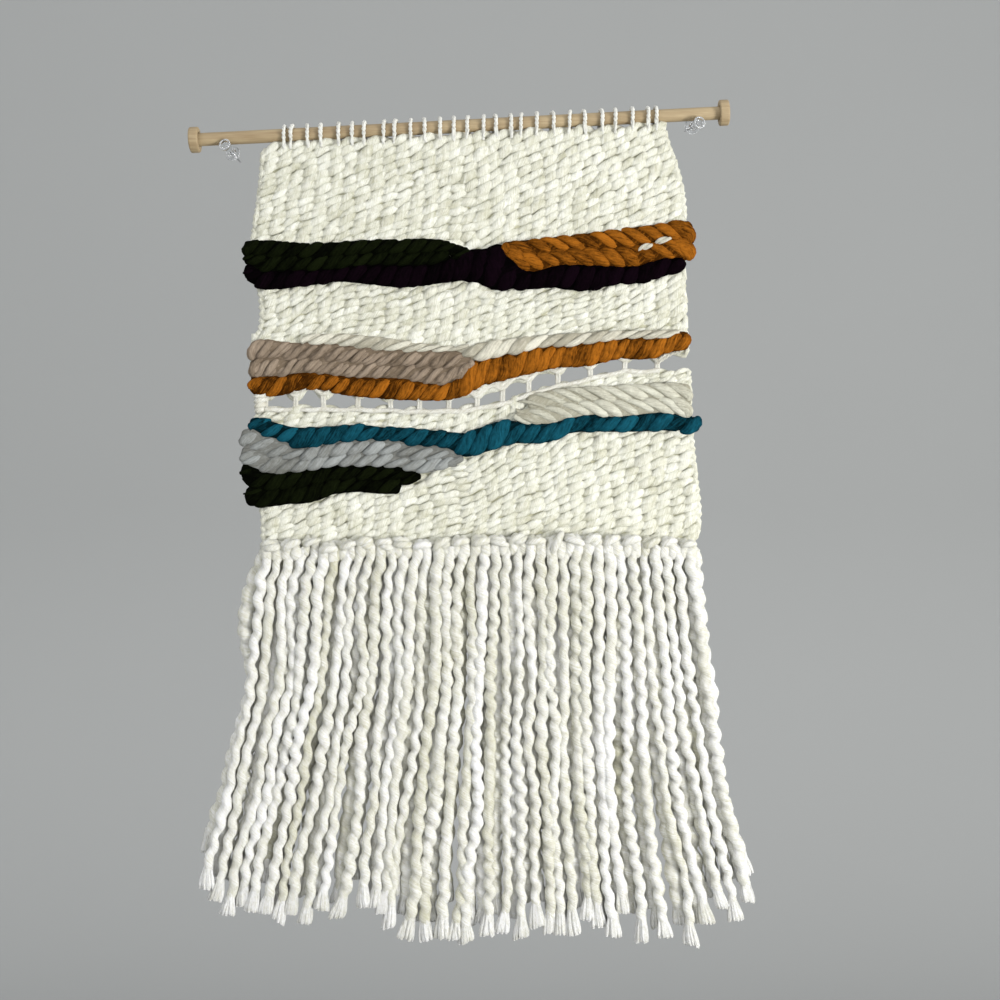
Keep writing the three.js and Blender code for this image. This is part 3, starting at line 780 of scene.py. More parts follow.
def warp_bars(rng):
    """The open row: its warp pairs, the yarns along its edges, and the wraps and the cord at its ends."""
    yarns = Yarns()
    for x, z, tall in zip(BARS["x"], BARS["z"], BARS["tall"]):
        t = np.linspace(-1, 1, 13)
        reach = tall / 2 + 3.6
        lean = rng.normal(0, 0.25)
        depth = MIDDLE - 1.9 + 0.6 * np.clip(np.abs(t) * reach - tall / 2 - 0.4, 0, None)
        for side in (-1, 1):
            line = route(x + lean * t + 0.72 * side, depth, z + t * reach)
            yarns.lay(line, thick=1.05, shade=0.6)
    n = 300
    for side, lift, low, high in HEADINGS:
        x = np.linspace(low, high, n)
        z = open_edge(x, side) - 0.3 * side + lift + wander(rng, n, 12, 0.2)
        depth = MIDDLE - 2.6 + wander(rng, n, 12, 0.2)
        yarns.lay(route(x, depth, z), 1.75 + wander(rng, n, 9, 0.16), flat=0.85, shade=0.55)
    wraps, left, lowest = 4, -132, -185
    for k in range(wraps):
        t = np.linspace(-1, 1, 9)
        wide = mix(2.8, 4.6, k / (wraps - 1))
        line = route(left + 0.5 * wide + wide * t, MIDDLE - 3.2 * (1 - t ** 4), lowest + 3.2 * k + 0.9 * t)
        yarns.lay(line, 2.1 * taper(t, 0.4), flat=0.9, shade=0.55 + rng.normal(0, 0.06))
    t = np.linspace(0, 1, 14)
    x, z = (np.interp(t, np.linspace(0, 1, len(NOTCH_ARM)), each) for each in zip(*NOTCH_ARM))
    for side in (-1, 1):
        line = route(x, MIDDLE - 2.4, z + 0.95 * side)
        yarns.lay_plies(line, thick=1.25, plies=2, lay_length=6.0, start=rng.uniform(0, 6), shade=0.55)
    return yarns


def warp_loops(rng, sizes):
    """The warps' loops over the rod."""
    yarns = Yarns()
    cord = sizes.warp_thickness / MM / 2
    reach = ROD_RADIUS + cord + 0.1
    turn = np.radians(np.linspace(-38, 218, 26))
    for x in LOOPS:
        lean = rng.uniform(-0.9, 1.1)
        foot = float(along(CLOTH_TOP, x)) - 4
        height = ROD_SLOPE * x + reach * np.sin(turn)
        ring = route(x + lean * np.cos(turn), MIDDLE - reach * np.cos(turn), height)
        front = [(x + 1.6 * lean, MIDDLE - 2.4, foot), (x + 1.4 * lean, MIDDLE - 3.4, foot + 2.2)]
        back = [(x - 1.2 * lean, MIDDLE + 3.0, foot + 2.2), (x - 1.4 * lean, MIDDLE + 2.0, foot)]
        path = np.concatenate([front, ring, back])
        size = cord * (1 + wander(rng, len(path), 7, 0.05))
        yarns.lay_plies(path, size, plies=2, lay_length=5.5, start=rng.uniform(0, 6), shade=0.85)
    return yarns


# Soumak bands: their edges, ends and rows, where a neighbour's edge joins them at the top, the stitches'
# sideways run in pitches, their pitch and fullness, and the yarn's plies
BANDS = (
    {"name": "green_upper", "top": FIRST_TOP, "bottom": PURPLE_TOP, "from": -141.5, "to": 6, "rows": 2,
     "run": 1.7, "pitch": 10, "plies": 1, "full": 0.62, "yarn": "dark_green_yarn"},
    {"name": "purple", "top": PURPLE_TOP, "bottom": FIRST_BOTTOM, "from": -141.5, "to": 145.5, "rows": 1,
     "joint": (-138, 144), "run": 1.4, "pitch": 9.9, "plies": 1, "yarn": "dark_purple_yarn"},
    {"name": "ochre_upper", "top": FIRST_TOP, "bottom": PURPLE_TOP, "from": 26.5, "to": 151.5, "rows": 2,
     "run": -2.0, "pitch": 10.4, "plies": 1, "yarn": "ochre_yarn"},
    {"name": "pale", "top": SECOND_TOP, "bottom": [TAUPE_TOP, OCHRE_TOP], "from": -104, "to": 142, "rows": 1,
     "run": 2.0, "pitch": 9.9, "plies": 1, "yarn": "pale_grey_yarn"},
    {"name": "taupe", "top": TAUPE_TOP, "bottom": OCHRE_TOP, "from": -138, "to": 8.5, "rows": 2,
     "joint": (-103, 6), "run": 1.8, "pitch": 8.8, "plies": 2, "yarn": "taupe_yarn"},
    {"name": "ochre_middle", "top": OCHRE_TOP, "bottom": SECOND_BOTTOM, "from": -138, "to": 149, "rows": 1,
     "joint": (-136, 147), "run": 1.7, "pitch": 8.3, "plies": 1, "yarn": "ochre_yarn"},
    {"name": "cream", "top": CREAM_TOP, "bottom": TEAL_TOP, "from": 34, "to": 150, "rows": 2,
     "run": -2.3, "pitch": 10.5, "plies": 1, "yarn": "cream_yarn"},
    {"name": "teal", "top": TEAL_TOP, "bottom": TEAL_BOTTOM, "from": -138, "to": 156, "rows": 1,
     "joint": (36, 150), "run": 1.75, "pitch": 10.6, "plies": 1, "yarn": "teal_yarn"},
    {"name": "lavender", "top": TEAL_BOTTOM, "bottom": GREEN_TOP, "from": -143.5, "to": 1.5, "rows": 2,
     "joint": (-136, 0), "run": 1.8, "pitch": 10.5, "plies": 1, "yarn": "lavender_yarn"},
    {"name": "green_lower", "top": GREEN_TOP, "bottom": THIRD_BOTTOM, "from": -143.5, "to": -26, "rows": 2,
     "joint": (-141, -28), "run": 1.7, "pitch": 10, "plies": 1, "full": 0.62, "yarn": "dark_green_yarn"},
)
ACCENTS = ({"from": (114.9, -82.2), "to": (124, -78)}, {"from": (126.2, -77.2), "to": (136, -74)})
LEAST_ROW = 5.2
LEAST_STITCH = 1.6


def stitch(yarns, x, low, high, run, thick, band, rng):
    """One soumak stitch over the cloth's front: it comes out of the weave, swells and goes back in."""
    t = np.linspace(-1, 1, 13)
    thick = thick * (1 + rng.normal(0, 0.08))
    half = max((high - low) / 2 - 0.5 * thick, 0.3)
    px = x + run / 2 * (0.85 * t + 0.15 * t ** 3) + rng.normal(0, 0.3)
    px = np.clip(px, band["from"] + 0.75 * thick, band["to"] - 0.75 * thick)
    pz = (high + low) / 2 + half * np.sin(np.pi * t / 2) + rng.normal(0, 0.2)
    py = FRONT + 0.9 - 2.7 * taper(t, 1) + rng.normal(1.2 * np.sign(run), 0.35) * t
    size = thick * taper(t, 0.68, 2.6) * (1 + wander(rng, 13, 5, 0.05))
    shade = 0.52 + rng.normal(0, 0.17)
    turn = rng.uniform(0, 3)
    line = route(px, py, pz)
    yarns.lay_plies(line, size, band["plies"], lay_length=46.0, start=turn, flat=0.6, shade=shade)


def band_edges(band, x):
    """Upper and lower edge of a band at x, held at its ends."""
    x = min(max(x, band["from"]), band["to"])
    return float(along(band["top"], x)), float(along(band["bottom"], x))


def soumak(band, rng):
    """A band: its slanted stitches, the yarn's own bed under them, painted dark as the shade between the
    stitches, and the short wraps at the back.
    """
    yarns = Yarns()
    count = max(1, round((band["to"] - band["from"]) / band["pitch"]))
    pitch = (band["to"] - band["from"]) / count
    wrap = np.linspace(-0.5, 0.5, 7)
    for k in range(band["rows"]):
        bed = []
        for i in range(-1, count + 1):
            x = band["from"] + (i + 0.5 + (0.5 if k % 2 else 0.0)) * pitch
            x = min(max(x, band["from"] + 0.45 * pitch), band["to"] - 0.45 * pitch)
            top, bottom = band_edges(band, x)
            rows = band["rows"] if (top - bottom) / band["rows"] > LEAST_ROW else 1
            lap = 0.7 if rows > 1 else 0.0
            run = band["run"] * pitch * rng.uniform(0.85, 1.15)
            high = mix(*band_edges(band, x + 0.35 * run), k / rows) + (lap if k else 0)
            low = mix(*band_edges(band, x - 0.35 * run), (k + 1) / rows) - (lap if k + 1 < rows else 0)
            if k >= rows or min(top - bottom, high - low) < LEAST_STITCH:
                continue
            steep = math.atan2(high - low, abs(run))
            thick = band.get("full", 0.7) * min(pitch * math.sin(steep), (high - low) * 0.75)
            stitch(yarns, x, low - 0.3, high + 0.3, run, thick, band, rng)
            edges = mix(top, bottom, k / rows), mix(top, bottom, (k + 1) / rows)
            bed.append((x, sum(edges) / 2, (edges[0] - edges[1]) / 2))
            back = MIDDLE + 3.4 + 1.2 * taper(2 * wrap, 1, 2)
            line = route(x + wrap * pitch * 0.9, back, (high + low) / 2 + wrap * 2.2)
            yarns.lay(line, 2.1 * taper(2 * wrap, 0.4), flat=0.8, shade=0.42)
        if len(bed) > 2:
            lay_bed(yarns, band, np.array(bed), pitch, 0.9 if k else 0.35)
    lay_fillers(yarns, band)
    return yarns


# Painted shade: how dark the yarn lies that shows only between the stitches, darkened to stand in for the
# shade in the crevices
CREVICE_PAINTED_SHADE = 0.15


def lay_bed(yarns, band, bed, pitch, lap):
    """The flat yarn under a row of stitches, painted dark as the shade between them: bed has its x, height
    and half width at each stitch.
    """
    start = max(bed[0, 0] - 0.7 * pitch, band["from"] + 0.3)
    end = min(bed[-1, 0] + 0.7 * pitch, band["to"] - 0.3)
    x = np.linspace(start, end, 8 * len(bed))
    tall = np.interp(x, bed[:, 0], bed[:, 2])
    inward = np.clip(np.minimum(x - start, end - x) / np.maximum(0.8 * tall, 1), 0, 1)
    line = route(x, FRONT + 0.3, np.interp(x, bed[:, 0], bed[:, 1]))
    tall = (tall + lap) * np.sqrt(1 - (1 - inward) ** 2)
    yarns.lay(line, np.maximum(tall, 0.3), flat=0.42, shade=CREVICE_PAINTED_SHADE)


def lay_fillers(yarns, band):
    """Yarns painted dark as the shade in the joints: they close the joint to the band above and the joints
    between a band's rows.
    """
    depth, points, half, full_height = FRONT - 0.5, 90, 1.1, 13
    if "joint" in band:
        x = np.linspace(*band["joint"], points)
        line = route(x, depth, along(band["top"], x) - 0.9)
        yarns.lay(line, thick=2.1, flat=0.5, shade=CREVICE_PAINTED_SHADE)
    for k in range(1, band["rows"]):
        x = np.linspace(band["from"] + 3, band["to"] - 1, points)
        top, bottom = along(band["top"], x), along(band["bottom"], x)
        narrow = np.clip((full_height - (top - bottom)) / 3, 0, 1)
        size = np.maximum(mix(2.2, (top - bottom) / 2 - 0.2, narrow), 0.3)
        line = route(x, depth, mix(top, bottom, k / band["rows"]))
        yarns.lay(line, size, flat=half / np.maximum(size, half), shade=CREVICE_PAINTED_SHADE)


def accent(place, rng):
    """A short pale stitch sewn over the ochre band."""
    yarns = Yarns()
    t = np.linspace(-1, 1, 11)
    start, end = np.array(place["from"]), np.array(place["to"])
    middle, half = (start + end) / 2, (end - start) / 2
    x, z = middle[0] + half[0] * t, middle[1] + half[1] * t + 0.5 * (1 - t * t)
    path = route(x, -12.2 + 2.6 * np.abs(t) ** 3 - 1.6, z)
    size, turn = 2.1 * taper(t, 0.45, 4), rng.uniform(0, 3)
    yarns.lay_plies(path, size, plies=2, lay_length=20.0, start=turn, flat=0.9, shade=0.55)
    return yarns


# Fringe


def knots(rng):
    """Knots along the cloth's foot: each a bar over two legs, with a plain bar on the back."""
    yarns = Yarns()
    t = np.linspace(-1, 1, 15)
    arch = taper(t, 1, 2.6)
    for k in range(KNOTS):
        x = mix(-129, 153.5, (k + 0.5) / KNOTS) + rng.normal(0, 0.6)
        z = float(along(CLOTH_BOTTOM, x)) - 3.2 + rng.normal(0, 1.0)
        size, shade = rng.normal(3.9, 0.4), 0.5 + rng.normal(0, 0.1)
        for side in (-1, 1):
            foot = x + side * rng.uniform(3.2, 4.2)
            leg = route(mix(x + 1.6 * side, foot, (1 - t) / 2), MIDDLE - 1.8 - 3.4 * arch, z - 2.4 + 6.4 * t)
            leg_size = 0.92 * size * taper(t, 0.5, 4) * (1 + wander(rng, 15, 5, 0.06))
            yarns.lay(leg, leg_size, flat=0.8, shade=shade)
        slope, wide = math.tan(math.radians(rng.normal(4, 15))), rng.uniform(4.6, 6)
        bar = route(x + wide * t, MIDDLE - 3.0 - 5.2 * arch, z + wide * slope * t + 0.9 * arch)
        size, turn = size * taper(t, 0.45), rng.uniform(0, 6)
        yarns.lay_plies(bar, size, plies=2, lay_length=34.0, start=turn, flat=0.8, shade=shade)
        yarns.lay(route(x + 5.2 * t, MIDDLE + 2.4 + 1.4 * arch, z), 3.0 * taper(t, 0.42), flat=0.8)
    n = 160
    x = np.linspace(-128, 152.5, n)
    foot = route(x, MIDDLE - 0.6, along(CLOTH_BOTTOM, x) - 2.4)
    yarns.lay(foot, 3.6 + wander(rng, n, 6, 0.2), flat=0.7, shade=0.42)
    return yarns


def strand_line(u_root, tip_x, tip_z, y, rng, count):
    """The line of one strand from under its knot to its tip, spreading with the fringe."""
    root_x = mix(-128.5, 152.5, u_root)
    root_z = float(along(CLOTH_BOTTOM, root_x)) - 3.5
    s = np.linspace(0, 1, count)
    z = mix(root_z, tip_z, s)
    inset = 2.6
    left, right = across(FRINGE_LEFT, z) + inset, across(FRINGE_RIGHT, z) - inset
    u_tip = (tip_x - left[-1]) / (right[-1] - left[-1])
    u = mix(u_root, u_tip, s * s * (3 - 2 * s))
    x = mix(left, right, u) + wander(rng, count, 34, 1.3) * np.minimum(1, 4 * s)
    x[0] = root_x
    return route(x, y + wander(rng, count, 26, 0.45), z)


def strand(yarns, tufts, line, full, locks, rng, sizes):
    """A soft strand that winds like a corkscrew and opens into a brush of fibres at its cut end."""
    count = len(line)
    run = lengths(line)
    tuft = rng.uniform(9, 13.5)
    keep = int(np.searchsorted(run, run[-1] - tuft)) + 2
    pitch = sizes.strand_twist / MM * rng.uniform(0.88, 1.2)
    turn = rng.uniform(0, 2 * math.pi) - 2 * math.pi * run / pitch + wander(rng, count, 30, 0.8)
    curl = sizes.strand_curl / MM * (1 + wander(rng, count, 25, 0.22)) * np.clip(run / 12, 0.2, 1)
    curl = curl * np.clip((run[-1] - run) / 25, 0, 1)
    path = line + route(curl * np.cos(turn), -0.85 * curl * np.sin(turn), 0)
    thick = full * sizes.strand_thickness / MM / 2 * rng.normal(1, 0.08) * (1 + wander(rng, count, 13, 0.08))
    shade = 0.54 + wander(rng, count, 30, 0.08) + rng.normal(0, 0.08)
    thick[keep - 5 : keep] *= np.linspace(1, 0.6, 5)
    yarns.lay(path[:keep], thick[:keep], flat=0.95, shade=shade[:keep])

    root, tip = path[keep - 5], line[-1]
    start, spread = thick[keep - 6], rng.uniform(3.4, 5.4)
    side, lean = rng.normal(0, 0.8), rng.normal(0, 1.2)
    t = CORE_AT
    core = root + (tip - root) * (0.97 * t[:, None]) + np.outer(side * t * t, (1, 0, 0))
    tone = 0.7 + rng.normal(0, 0.06)
    size = (start + (spread + 0.6 - start) * t ** 1.5) * CORE_FULL
    tufts.lay(core, size, flat=mix(0.95, 0.6, t), shade=tone)
    t = np.linspace(0, 1, len(LOCK_THICK))
    for i in range(locks):
        turn, out = 2.4 * i + rng.normal(0, 0.3), rng.uniform(0.6, 0.92)
        reach = rng.uniform(0.93, 1.03) * t
        swell = out * (0.8 * start + (spread + 0.4 - 0.8 * start) * t ** 1.5)
        bend = 0.4 * np.sin(2.2 * t + turn)
        x = root[0] + (tip[0] - root[0]) * reach + swell * math.cos(turn) + side * t * t + bend
        y = root[1] + (tip[1] - root[1]) * reach + mix(0.9, 0.6, t) * swell * math.sin(turn)
        z = root[2] + (tip[2] - root[2]) * reach + lean * t * t * math.cos(turn) * out
        size = LOCK_THICK * rng.uniform(0.75, 1.2)
        tufts.lay(route(x, y, z), size, shade=tone + rng.normal(0, 0.05))


# Sizes and colours that a user may change


def length_property(name, description, size):
    return FloatProperty(name=name, description=description, default=size * MM, unit="LENGTH")


def colour_property(name, colour):
    words = "Colour of the " + name.lower()
    return FloatVectorProperty(
        name=name, description=words, subtype="COLOR", size=3, min=0, max=1, default=colour
    )


class HangingSizes(bpy.types.PropertyGroup):
    fullness: FloatProperty(
        name="Fullness", description="Scale of every yarn's thickness", default=1.0, min=0.5, max=1.5
    )
    weft_thickness: length_property("Weft Thickness", "Thickness of the cotton weft", 5.9)
    weft_depth: length_property("Weft Depth", "How far the weft bows out of the cloth's middle", 1.35)
    weft_slant: length_property("Weft Slant", "How far the weft climbs over each warp", 1.95)
    warp_thickness: length_property("Warp Thickness", "Thickness of a warp cord on the rod", 2.9)
    strand_thickness: length_property("Strand Thickness", "Thickness of a fringe strand", 6.6)
    strand_twist: length_property("Strand Twist", "Length of one turn of a fringe strand", 12.8)
    strand_curl: length_property("Strand Curl", "How far a fringe strand winds off its own line", 0.85)
    locks: IntProperty(
        name="Locks", description="Locks of fibre at a strand's cut end", default=40, min=4, max=60
    )


class HangingColours(bpy.types.PropertyGroup):
    natural_cotton: colour_property("Natural Cotton", (0.87, 0.885, 0.705))
    fringe_cotton: colour_property("Fringe Cotton", (0.95, 0.965, 0.78))
    warp_cotton: colour_property("Warp Cotton", (0.92, 0.895, 0.73))
    dark_green_yarn: colour_property("Dark Green Yarn", (0.0036, 0.0053, 0.0013))
    dark_purple_yarn: colour_property("Dark Purple Yarn", (0.0026, 0.0007, 0.0021))
    ochre_yarn: colour_property("Ochre Yarn", (0.235, 0.078, 0.007))
    pale_grey_yarn: colour_property("Pale Grey Yarn", (0.67, 0.65, 0.55))
    taupe_yarn: colour_property("Taupe Yarn", (0.31, 0.245, 0.185))
    cream_yarn: colour_property("Cream Yarn", (0.6, 0.595, 0.5))
    teal_yarn: colour_property("Teal Yarn", (0.0045, 0.052, 0.077))
    lavender_yarn: colour_property("Lavender Yarn", (0.3, 0.315, 0.31))
    pale_wood: colour_property("Pale Wood", (0.35, 0.275, 0.165))
    studio: colour_property("Studio", (0.39, 0.397, 0.393))


def cotton(name):
    """The finish of an undyed cotton yarn."""
    colour = list(getattr(bpy.context.scene.hanging_colours, name))
    return yarn_finish(name, colour, deep=0.62, bright=1.25, streak=1.1, nap=0.1, twist=500.0)


def dyed(name):
    """The finish of a dyed yarn: dark colours vary more along the yarn than pale ones."""
    colour = list(getattr(bpy.context.scene.hanging_colours, name))
    deep, bright, streak = (0.6, 1.25, 0.9) if colour[0] > 0.28 else (0.2, 1.7, 1.15)
    return yarn_finish(name, colour, deep, bright, streak, nap=0.0, twist=130.0)


class HANGING_OT_ground(bpy.types.Operator):
    """Weave the cotton ground: its thin middle and the weft above and below the open row"""

    bl_idname = "hanging.ground"
    bl_label = "Woven Ground"

    def execute(self, context):
        sizes = context.scene.hanging_sizes
        rng = np.random.default_rng(11)
        sheet = ground_sheet(cotton("natural_cotton"))
        finish_piece(sheet, "natural_cotton", "cloth_with_warp_loops")
        for name, rows in (("weft_upper", UPPER_ROWS), ("weft_lower", LOWER_ROWS)):
            piece = spin(name, weft(rows, rng, sizes), cotton("natural_cotton"), lumps=0.16)
            finish_piece(piece, "natural_cotton")
        return {"FINISHED"}


class HANGING_OT_warp(bpy.types.Operator):
    """Lay the bare warps of the open row and the warp loops over the rod"""

    bl_idname = "hanging.warp"
    bl_label = "Warps and Loops"

    def execute(self, context):
        rng = np.random.default_rng(23)
        finish = cotton("warp_cotton")
        finish_piece(spin("warp_bars", warp_bars(rng), finish, sides=6, lumps=0.05), "natural_cotton")
        loops = warp_loops(rng, context.scene.hanging_sizes)
        finish_piece(spin("warp_loops", loops, finish, sides=7, lumps=0.04), "natural_cotton")
        return {"FINISHED"}


class HANGING_OT_soumak(bpy.types.Operator):
    """Wrap the coloured soumak bands and sew the two accent stitches"""

    bl_idname = "hanging.soumak"
    bl_label = "Soumak Bands"

    def execute(self, context):
        rng = np.random.default_rng(37)
        for band in BANDS:
            piece = spin("band_" + band["name"], soumak(band, rng), dyed(band["yarn"]), sides=10)
            finish_piece(piece, band["yarn"], "soumak_" + band["name"])
        for number, place in enumerate(ACCENTS, 1):
            piece = spin(f"accent_{number}", accent(place, rng), dyed("pale_grey_yarn"))
            finish_piece(piece, "pale_grey_yarn", f"accent_stitch_{number}")
        return {"FINISHED"}


class HANGING_OT_fringe(bpy.types.Operator):
    """Tie the knots along the cloth's foot and hang the two layers of the fringe"""

    bl_idname = "hanging.fringe"
    bl_label = "Knots and Fringe"

    def execute(self, context):
        sizes = context.scene.hanging_sizes
        rng = np.random.default_rng(53)
        finish = cotton("fringe_cotton")
        finish_piece(spin("fringe_knots", knots(rng), finish, sides=10), "fringe_cotton")
        for layer, depth, many, count, full, sides in LAYERS:
            yarns, tufts = Yarns(), Yarns()
            locks = sizes.locks if layer == "front" else sizes.locks // 2
            for i in range(many):
                place = mix(0, STRANDS - 1, i / (many - 1))
                u = (i + 0.5) / many if layer == "front" else i / (many - 1)
                tip_x, tip_z = (float(np.interp(place, range(STRANDS), TIPS[key])) for key in "xz")
                if layer == "back":
                    tip_x += rng.normal(0, 2)
                    tip_z += rng.uniform(4, 22)
                line = strand_line(u, tip_x, tip_z, depth + rng.normal(0, 0.3), rng, count)
                strand(yarns, tufts, line, full, locks, rng, sizes)
            piece = spin("strands_" + layer, yarns, finish, sides=sides, lumps=0.22, lump_rate=400.0)
            finish_piece(piece, "fringe_cotton", "fringe_" + layer)
            finish_piece(spin("tufts_" + layer, tufts, finish, sides=4, lumps=0.1), "fringe_cotton")
        return {"FINISHED"}


# Outline of a cap around its axis, from the bottom of its bore to its outer end
CAP_PROFILE = ((0, 4), (4.5, 4), (4.5, 0), (8.25, 0), (8.25, 6), (5.5, 6.45), (0, 6.7))


class HANGING_OT_rod(bpy.types.Operator):
    """Turn the wooden rod and its two end caps"""

    bl_idname = "hanging.rod"
    bl_label = "Rod and Caps"

    def execute(self, context):
        wood = wood_finish("turned_wood", list(context.scene.hanging_colours.pale_wood))
        tilt = Matrix.Rotation(-math.atan(ROD_SLOPE), 4, "Y")
        place = Matrix.Translation((0, MIDDLE * MM, 0)) @ tilt
        turned = place @ Matrix.Rotation(-math.pi / 2, 4, "Z")
        left, right, radius, turns = -174.3, 171.9, ROD_RADIUS, 40
        profile = [(0, left), (radius - 0.3, left), (radius, left + 0.4)]
        for i in range(turns + 1):
            profile.append((radius + 0.03 * math.sin(i * 1.7), mix(left + 1, right - 1, i / turns)))
        profile += [(radius, right - 0.4), (radius - 0.3, right), (0, right)]
        finish_piece(lathe("turned_rod", profile, turned, wood), "pale_wood", "rod")
        for side, sign, out in (("left", -1, 170.6), ("right", 1, 168.2)):
            spin_to = Matrix.Rotation(-sign * math.pi / 2, 4, "Z")
            at = place @ Matrix.Translation((sign * out * MM, 0, 0)) @ spin_to
            piece = lathe("turned_cap_" + side, rounded(CAP_PROFILE, 1.1), at, wood)
            finish_piece(piece, "pale_wood", "cap_" + side)
        return {"FINISHED"}


# Push pins: outlines from the wall outwards, the milky rims' distance from the axis, height and half
# thickness (rings painted as the bright highlight rings that the clear head and collar catch), and where
# each pin enters the wall with its lean upwards and to the right, in radians
PIN_PROFILE = (
    (0, 6.5), (0.85, 6.5), (0.85, 1.5), (4.6, 1.5), (4.9, 2.0), (4.9, 2.6), (4.0, 3.2), (2.8, 4.1),
    (2.6, 5.5), (2.6, 10.9), (2.9, 12.3), (3.9, 13.3), (4.0, 14.6), (3.4, 15.3), (2.7, 14.9),
    (2.0, 14.2), (0, 14.0),
)
PIN_NECK, PIN_GAP = 2.6, 0.3
PAINTED_HIGHLIGHT_RIMS = (("head", 3.45, 14.4, 0.5), ("collar", 4.6, 2.3, 0.32))
NEEDLE_PROFILE = ((0, -10), (0.55, -8), (0.55, 6.4), (0, 6.4))
PINS = (
    {"side": "left", "x": -148.9, "up": 0.29, "right": -0.29},
    {"side": "right", "x": 150.3, "up": 0, "right": 0.29},
)


class HANGING_OT_pins(bpy.types.Operator):
    """Turn the two clear push pins with milky rings painted as their highlights, and finish their needles"""

    bl_idname = "hanging.pins"
    bl_label = "Push Pins"

    def execute(self, context):
        plastic = plastic_finish("moulded_plastic", clear=1.0, rough=0.04)
        # Painted highlight: a milky plastic for the rings that stand in for the clear rims' bright glints
        painted_highlight_plastic = plastic_finish("moulded_rim", clear=0.35, rough=0.2)
        steel = steel_finish("drawn_steel")
        for pin in PINS:
            up, right = pin["up"], pin["right"]
            rod_at = ROD_SLOPE * (pin["x"] - MIDDLE * math.tan(right))
            height = rod_at - (ROD_RADIUS + PIN_NECK + PIN_GAP - MIDDLE * math.sin(up)) / math.cos(up)
            outward = Vector((math.tan(right), -1, math.tan(up))).normalized()
            turn = Vector((0, 1, 0)).rotation_difference(outward).to_matrix().to_4x4()
            place = Matrix.Translation(Vector((pin["x"], 0, height)) * MM) @ turn
            piece = lathe("clear_pin_" + pin["side"], rounded(PIN_PROFILE, 0.5), place, plastic)
            finish_piece(piece, "clear_plastic", "pin_" + pin["side"])
            # Milky rings on the head and collar: painted highlight, standing in for the bright rings that
            # clear plastic shows there
            for part, out, high, thick in PAINTED_HIGHLIGHT_RIMS:
                piece = lathe(f"{part}_rim_{pin['side']}", bead(out, high, thick), place, painted_highlight_plastic)
                finish_piece(piece, "clear_plastic")
            piece = lathe("steel_needle_" + pin["side"], NEEDLE_PROFILE, place, steel, sides=20)
            finish_piece(piece, "pin_steel", "needle_" + pin["side"])
        return {"FINISHED"}


class HANGING_OT_hang(bpy.types.Operator):
    bl_idname = "hanging.hang"
    bl_label = "Hang the Cloth"

    def execute(self, context):
        yarns = ["weft_upper", "weft_lower", "warp_bars", "warp_loops", "fringe_knots"]
        yarns += ["band_" + band["name"] for band in BANDS]
        yarns += ["accent_1", "accent_2", "strands_front", "strands_back", "tufts_front", "tufts_back"]
        return {"FINISHED"}


# The camera's place in metres and its angle of view in degrees
CAMERA_AT = (0.02535, -0.954, -0.2434)
VIEW_ANGLE = 37.96


def soft_light(name, spot, target, size, power, colour):
    """A round area light in metres and watts that looks at its target."""
    lamp = bpy.data.lights.new(name, "AREA")
    lamp.shape, lamp.size, lamp.energy, lamp.color = "DISK", size, power, colour
    holder = bpy.data.objects.new(name, lamp)
    holder.location = spot
    holder.rotation_euler = (Vector(target) - Vector(spot)).to_track_quat("-Z", "Y").to_euler()
    bpy.context.scene.collection.objects.link(holder)


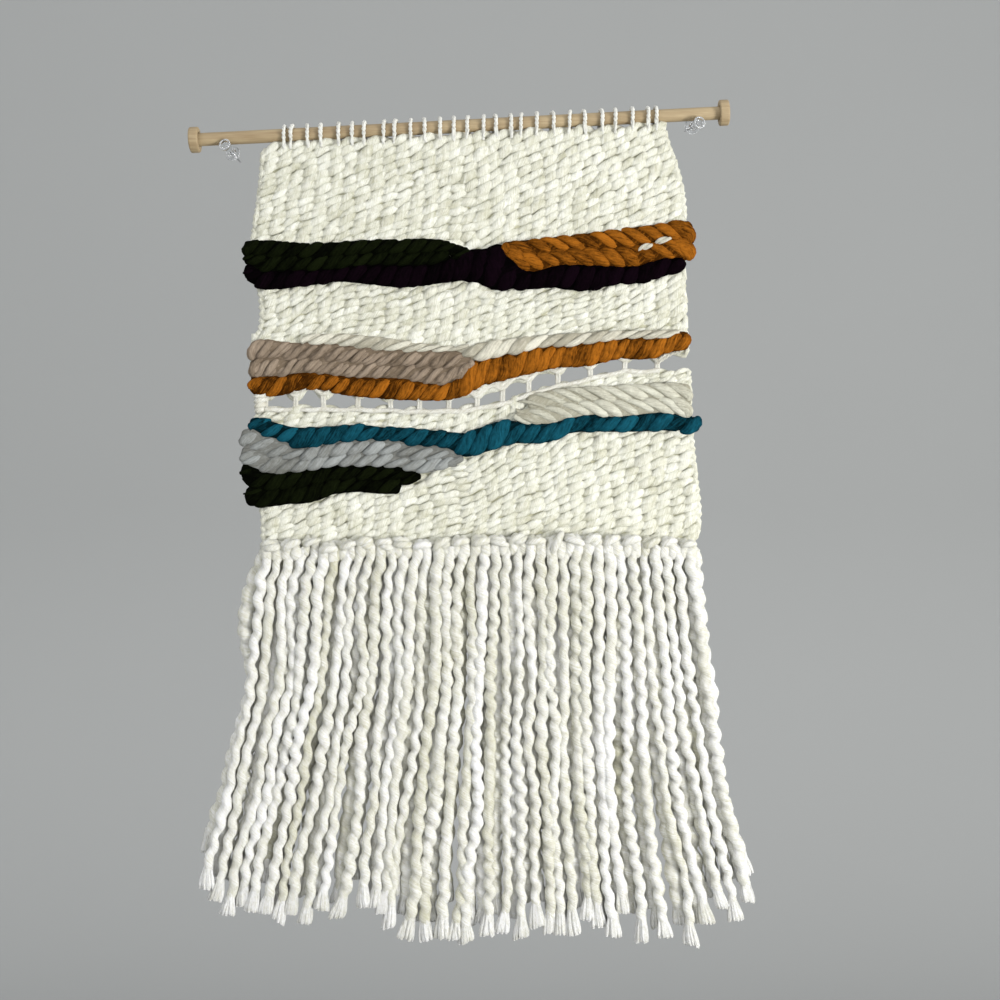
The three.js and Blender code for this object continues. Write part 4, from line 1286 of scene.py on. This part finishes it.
class HANGING_OT_stage(bpy.types.Operator):
    """Set the pale studio floor and sweep, the soft lights and the camera"""

    bl_idname = "hanging.stage"
    bl_label = "Stage, Lights and Camera"

    def execute(self, context):
        scene = context.scene
        finish = studio_finish("studio_paint", list(scene.hanging_colours.studio))
        wide, near, far, floor, top, bend, steps = 4.0, -4.0, 1.7, -0.95, 3.2, 0.7, 24
        profile = [(near, floor), (far - bend, floor)]
        for k in range(1, steps + 1):
            angle = math.pi / 2 * k / steps
            profile.append((far - bend + bend * math.sin(angle), floor + bend - bend * math.cos(angle)))
        profile.append((far, top))
        verts = [(x, y, z) for y, z in profile for x in (-wide, wide)]
        faces = [(2 * i, 2 * i + 1, 2 * i + 3, 2 * i + 2) for i in range(len(profile) - 1)]
        mesh_piece("studio_sweep", verts, faces, finish)

        middle = (0.0, 0.0, -0.26)
        key, fill = (1.3, -1.05, -0.45), (-1.1, -1.6, 0.6)
        soft_light("key_light", key, middle, size=0.6, power=30.0, colour=(1.0, 0.99, 0.965))
        soft_light("fill_light", fill, middle, size=1.4, power=10.0, colour=(0.95, 0.97, 1.0))
        world = bpy.data.worlds.new("studio_light")
        world.use_nodes = True
        sky = world.node_tree.nodes["Background"]
        sky.inputs["Color"].default_value = (0.93, 0.94, 0.95, 1)
        sky.inputs["Strength"].default_value = 0.93
        scene.world = world

        lens = bpy.data.cameras.new("camera")
        sensor = 36.0
        lens.sensor_width, lens.sensor_height, lens.sensor_fit = sensor, sensor, "HORIZONTAL"
        lens.lens = sensor / 2 / math.tan(math.radians(VIEW_ANGLE / 2))
        camera = bpy.data.objects.new("camera", lens)
        camera.location = CAMERA_AT
        camera.rotation_euler = (math.pi / 2, 0, 0)
        scene.collection.objects.link(camera)
        scene.camera = camera
        scene.view_settings.view_transform = "Standard"
        return {"FINISHED"}


STEPS = (
    HANGING_OT_rod,
    HANGING_OT_pins,
    HANGING_OT_ground,
    HANGING_OT_warp,
    HANGING_OT_soumak,
    HANGING_OT_fringe,
    HANGING_OT_hang,
    HANGING_OT_stage,
)


class HANGING_PT_panel(bpy.types.Panel):
    """The steps that make the wall hanging, with its sizes and colours"""

    bl_label = "Wall Hanging"
    bl_idname = "HANGING_PT_panel"
    bl_space_type = "VIEW_3D"
    bl_region_type = "UI"
    bl_category = "Wall Hanging"

    def draw(self, context):
        for group in (context.scene.hanging_sizes, context.scene.hanging_colours):
            for key in group.bl_rna.properties.keys():
                if key not in ("rna_type", "name"):
                    self.layout.prop(group, key)
        for step in STEPS:
            self.layout.operator(step.bl_idname)


CLASSES = (HangingSizes, HangingColours, *STEPS, HANGING_PT_panel)


def register():
    for each in CLASSES:
        bpy.utils.register_class(each)
    bpy.types.Scene.hanging_sizes = PointerProperty(type=HangingSizes)
    bpy.types.Scene.hanging_colours = PointerProperty(type=HangingColours)


def unregister():
    del bpy.types.Scene.hanging_colours
    del bpy.types.Scene.hanging_sizes
    for each in reversed(CLASSES):
        bpy.utils.unregister_class(each)


def main():
    register()
    for step in STEPS:
        group, name = step.bl_idname.split(".")
        getattr(getattr(bpy.ops, group), name)()


if __name__ == "__main__":
    main()
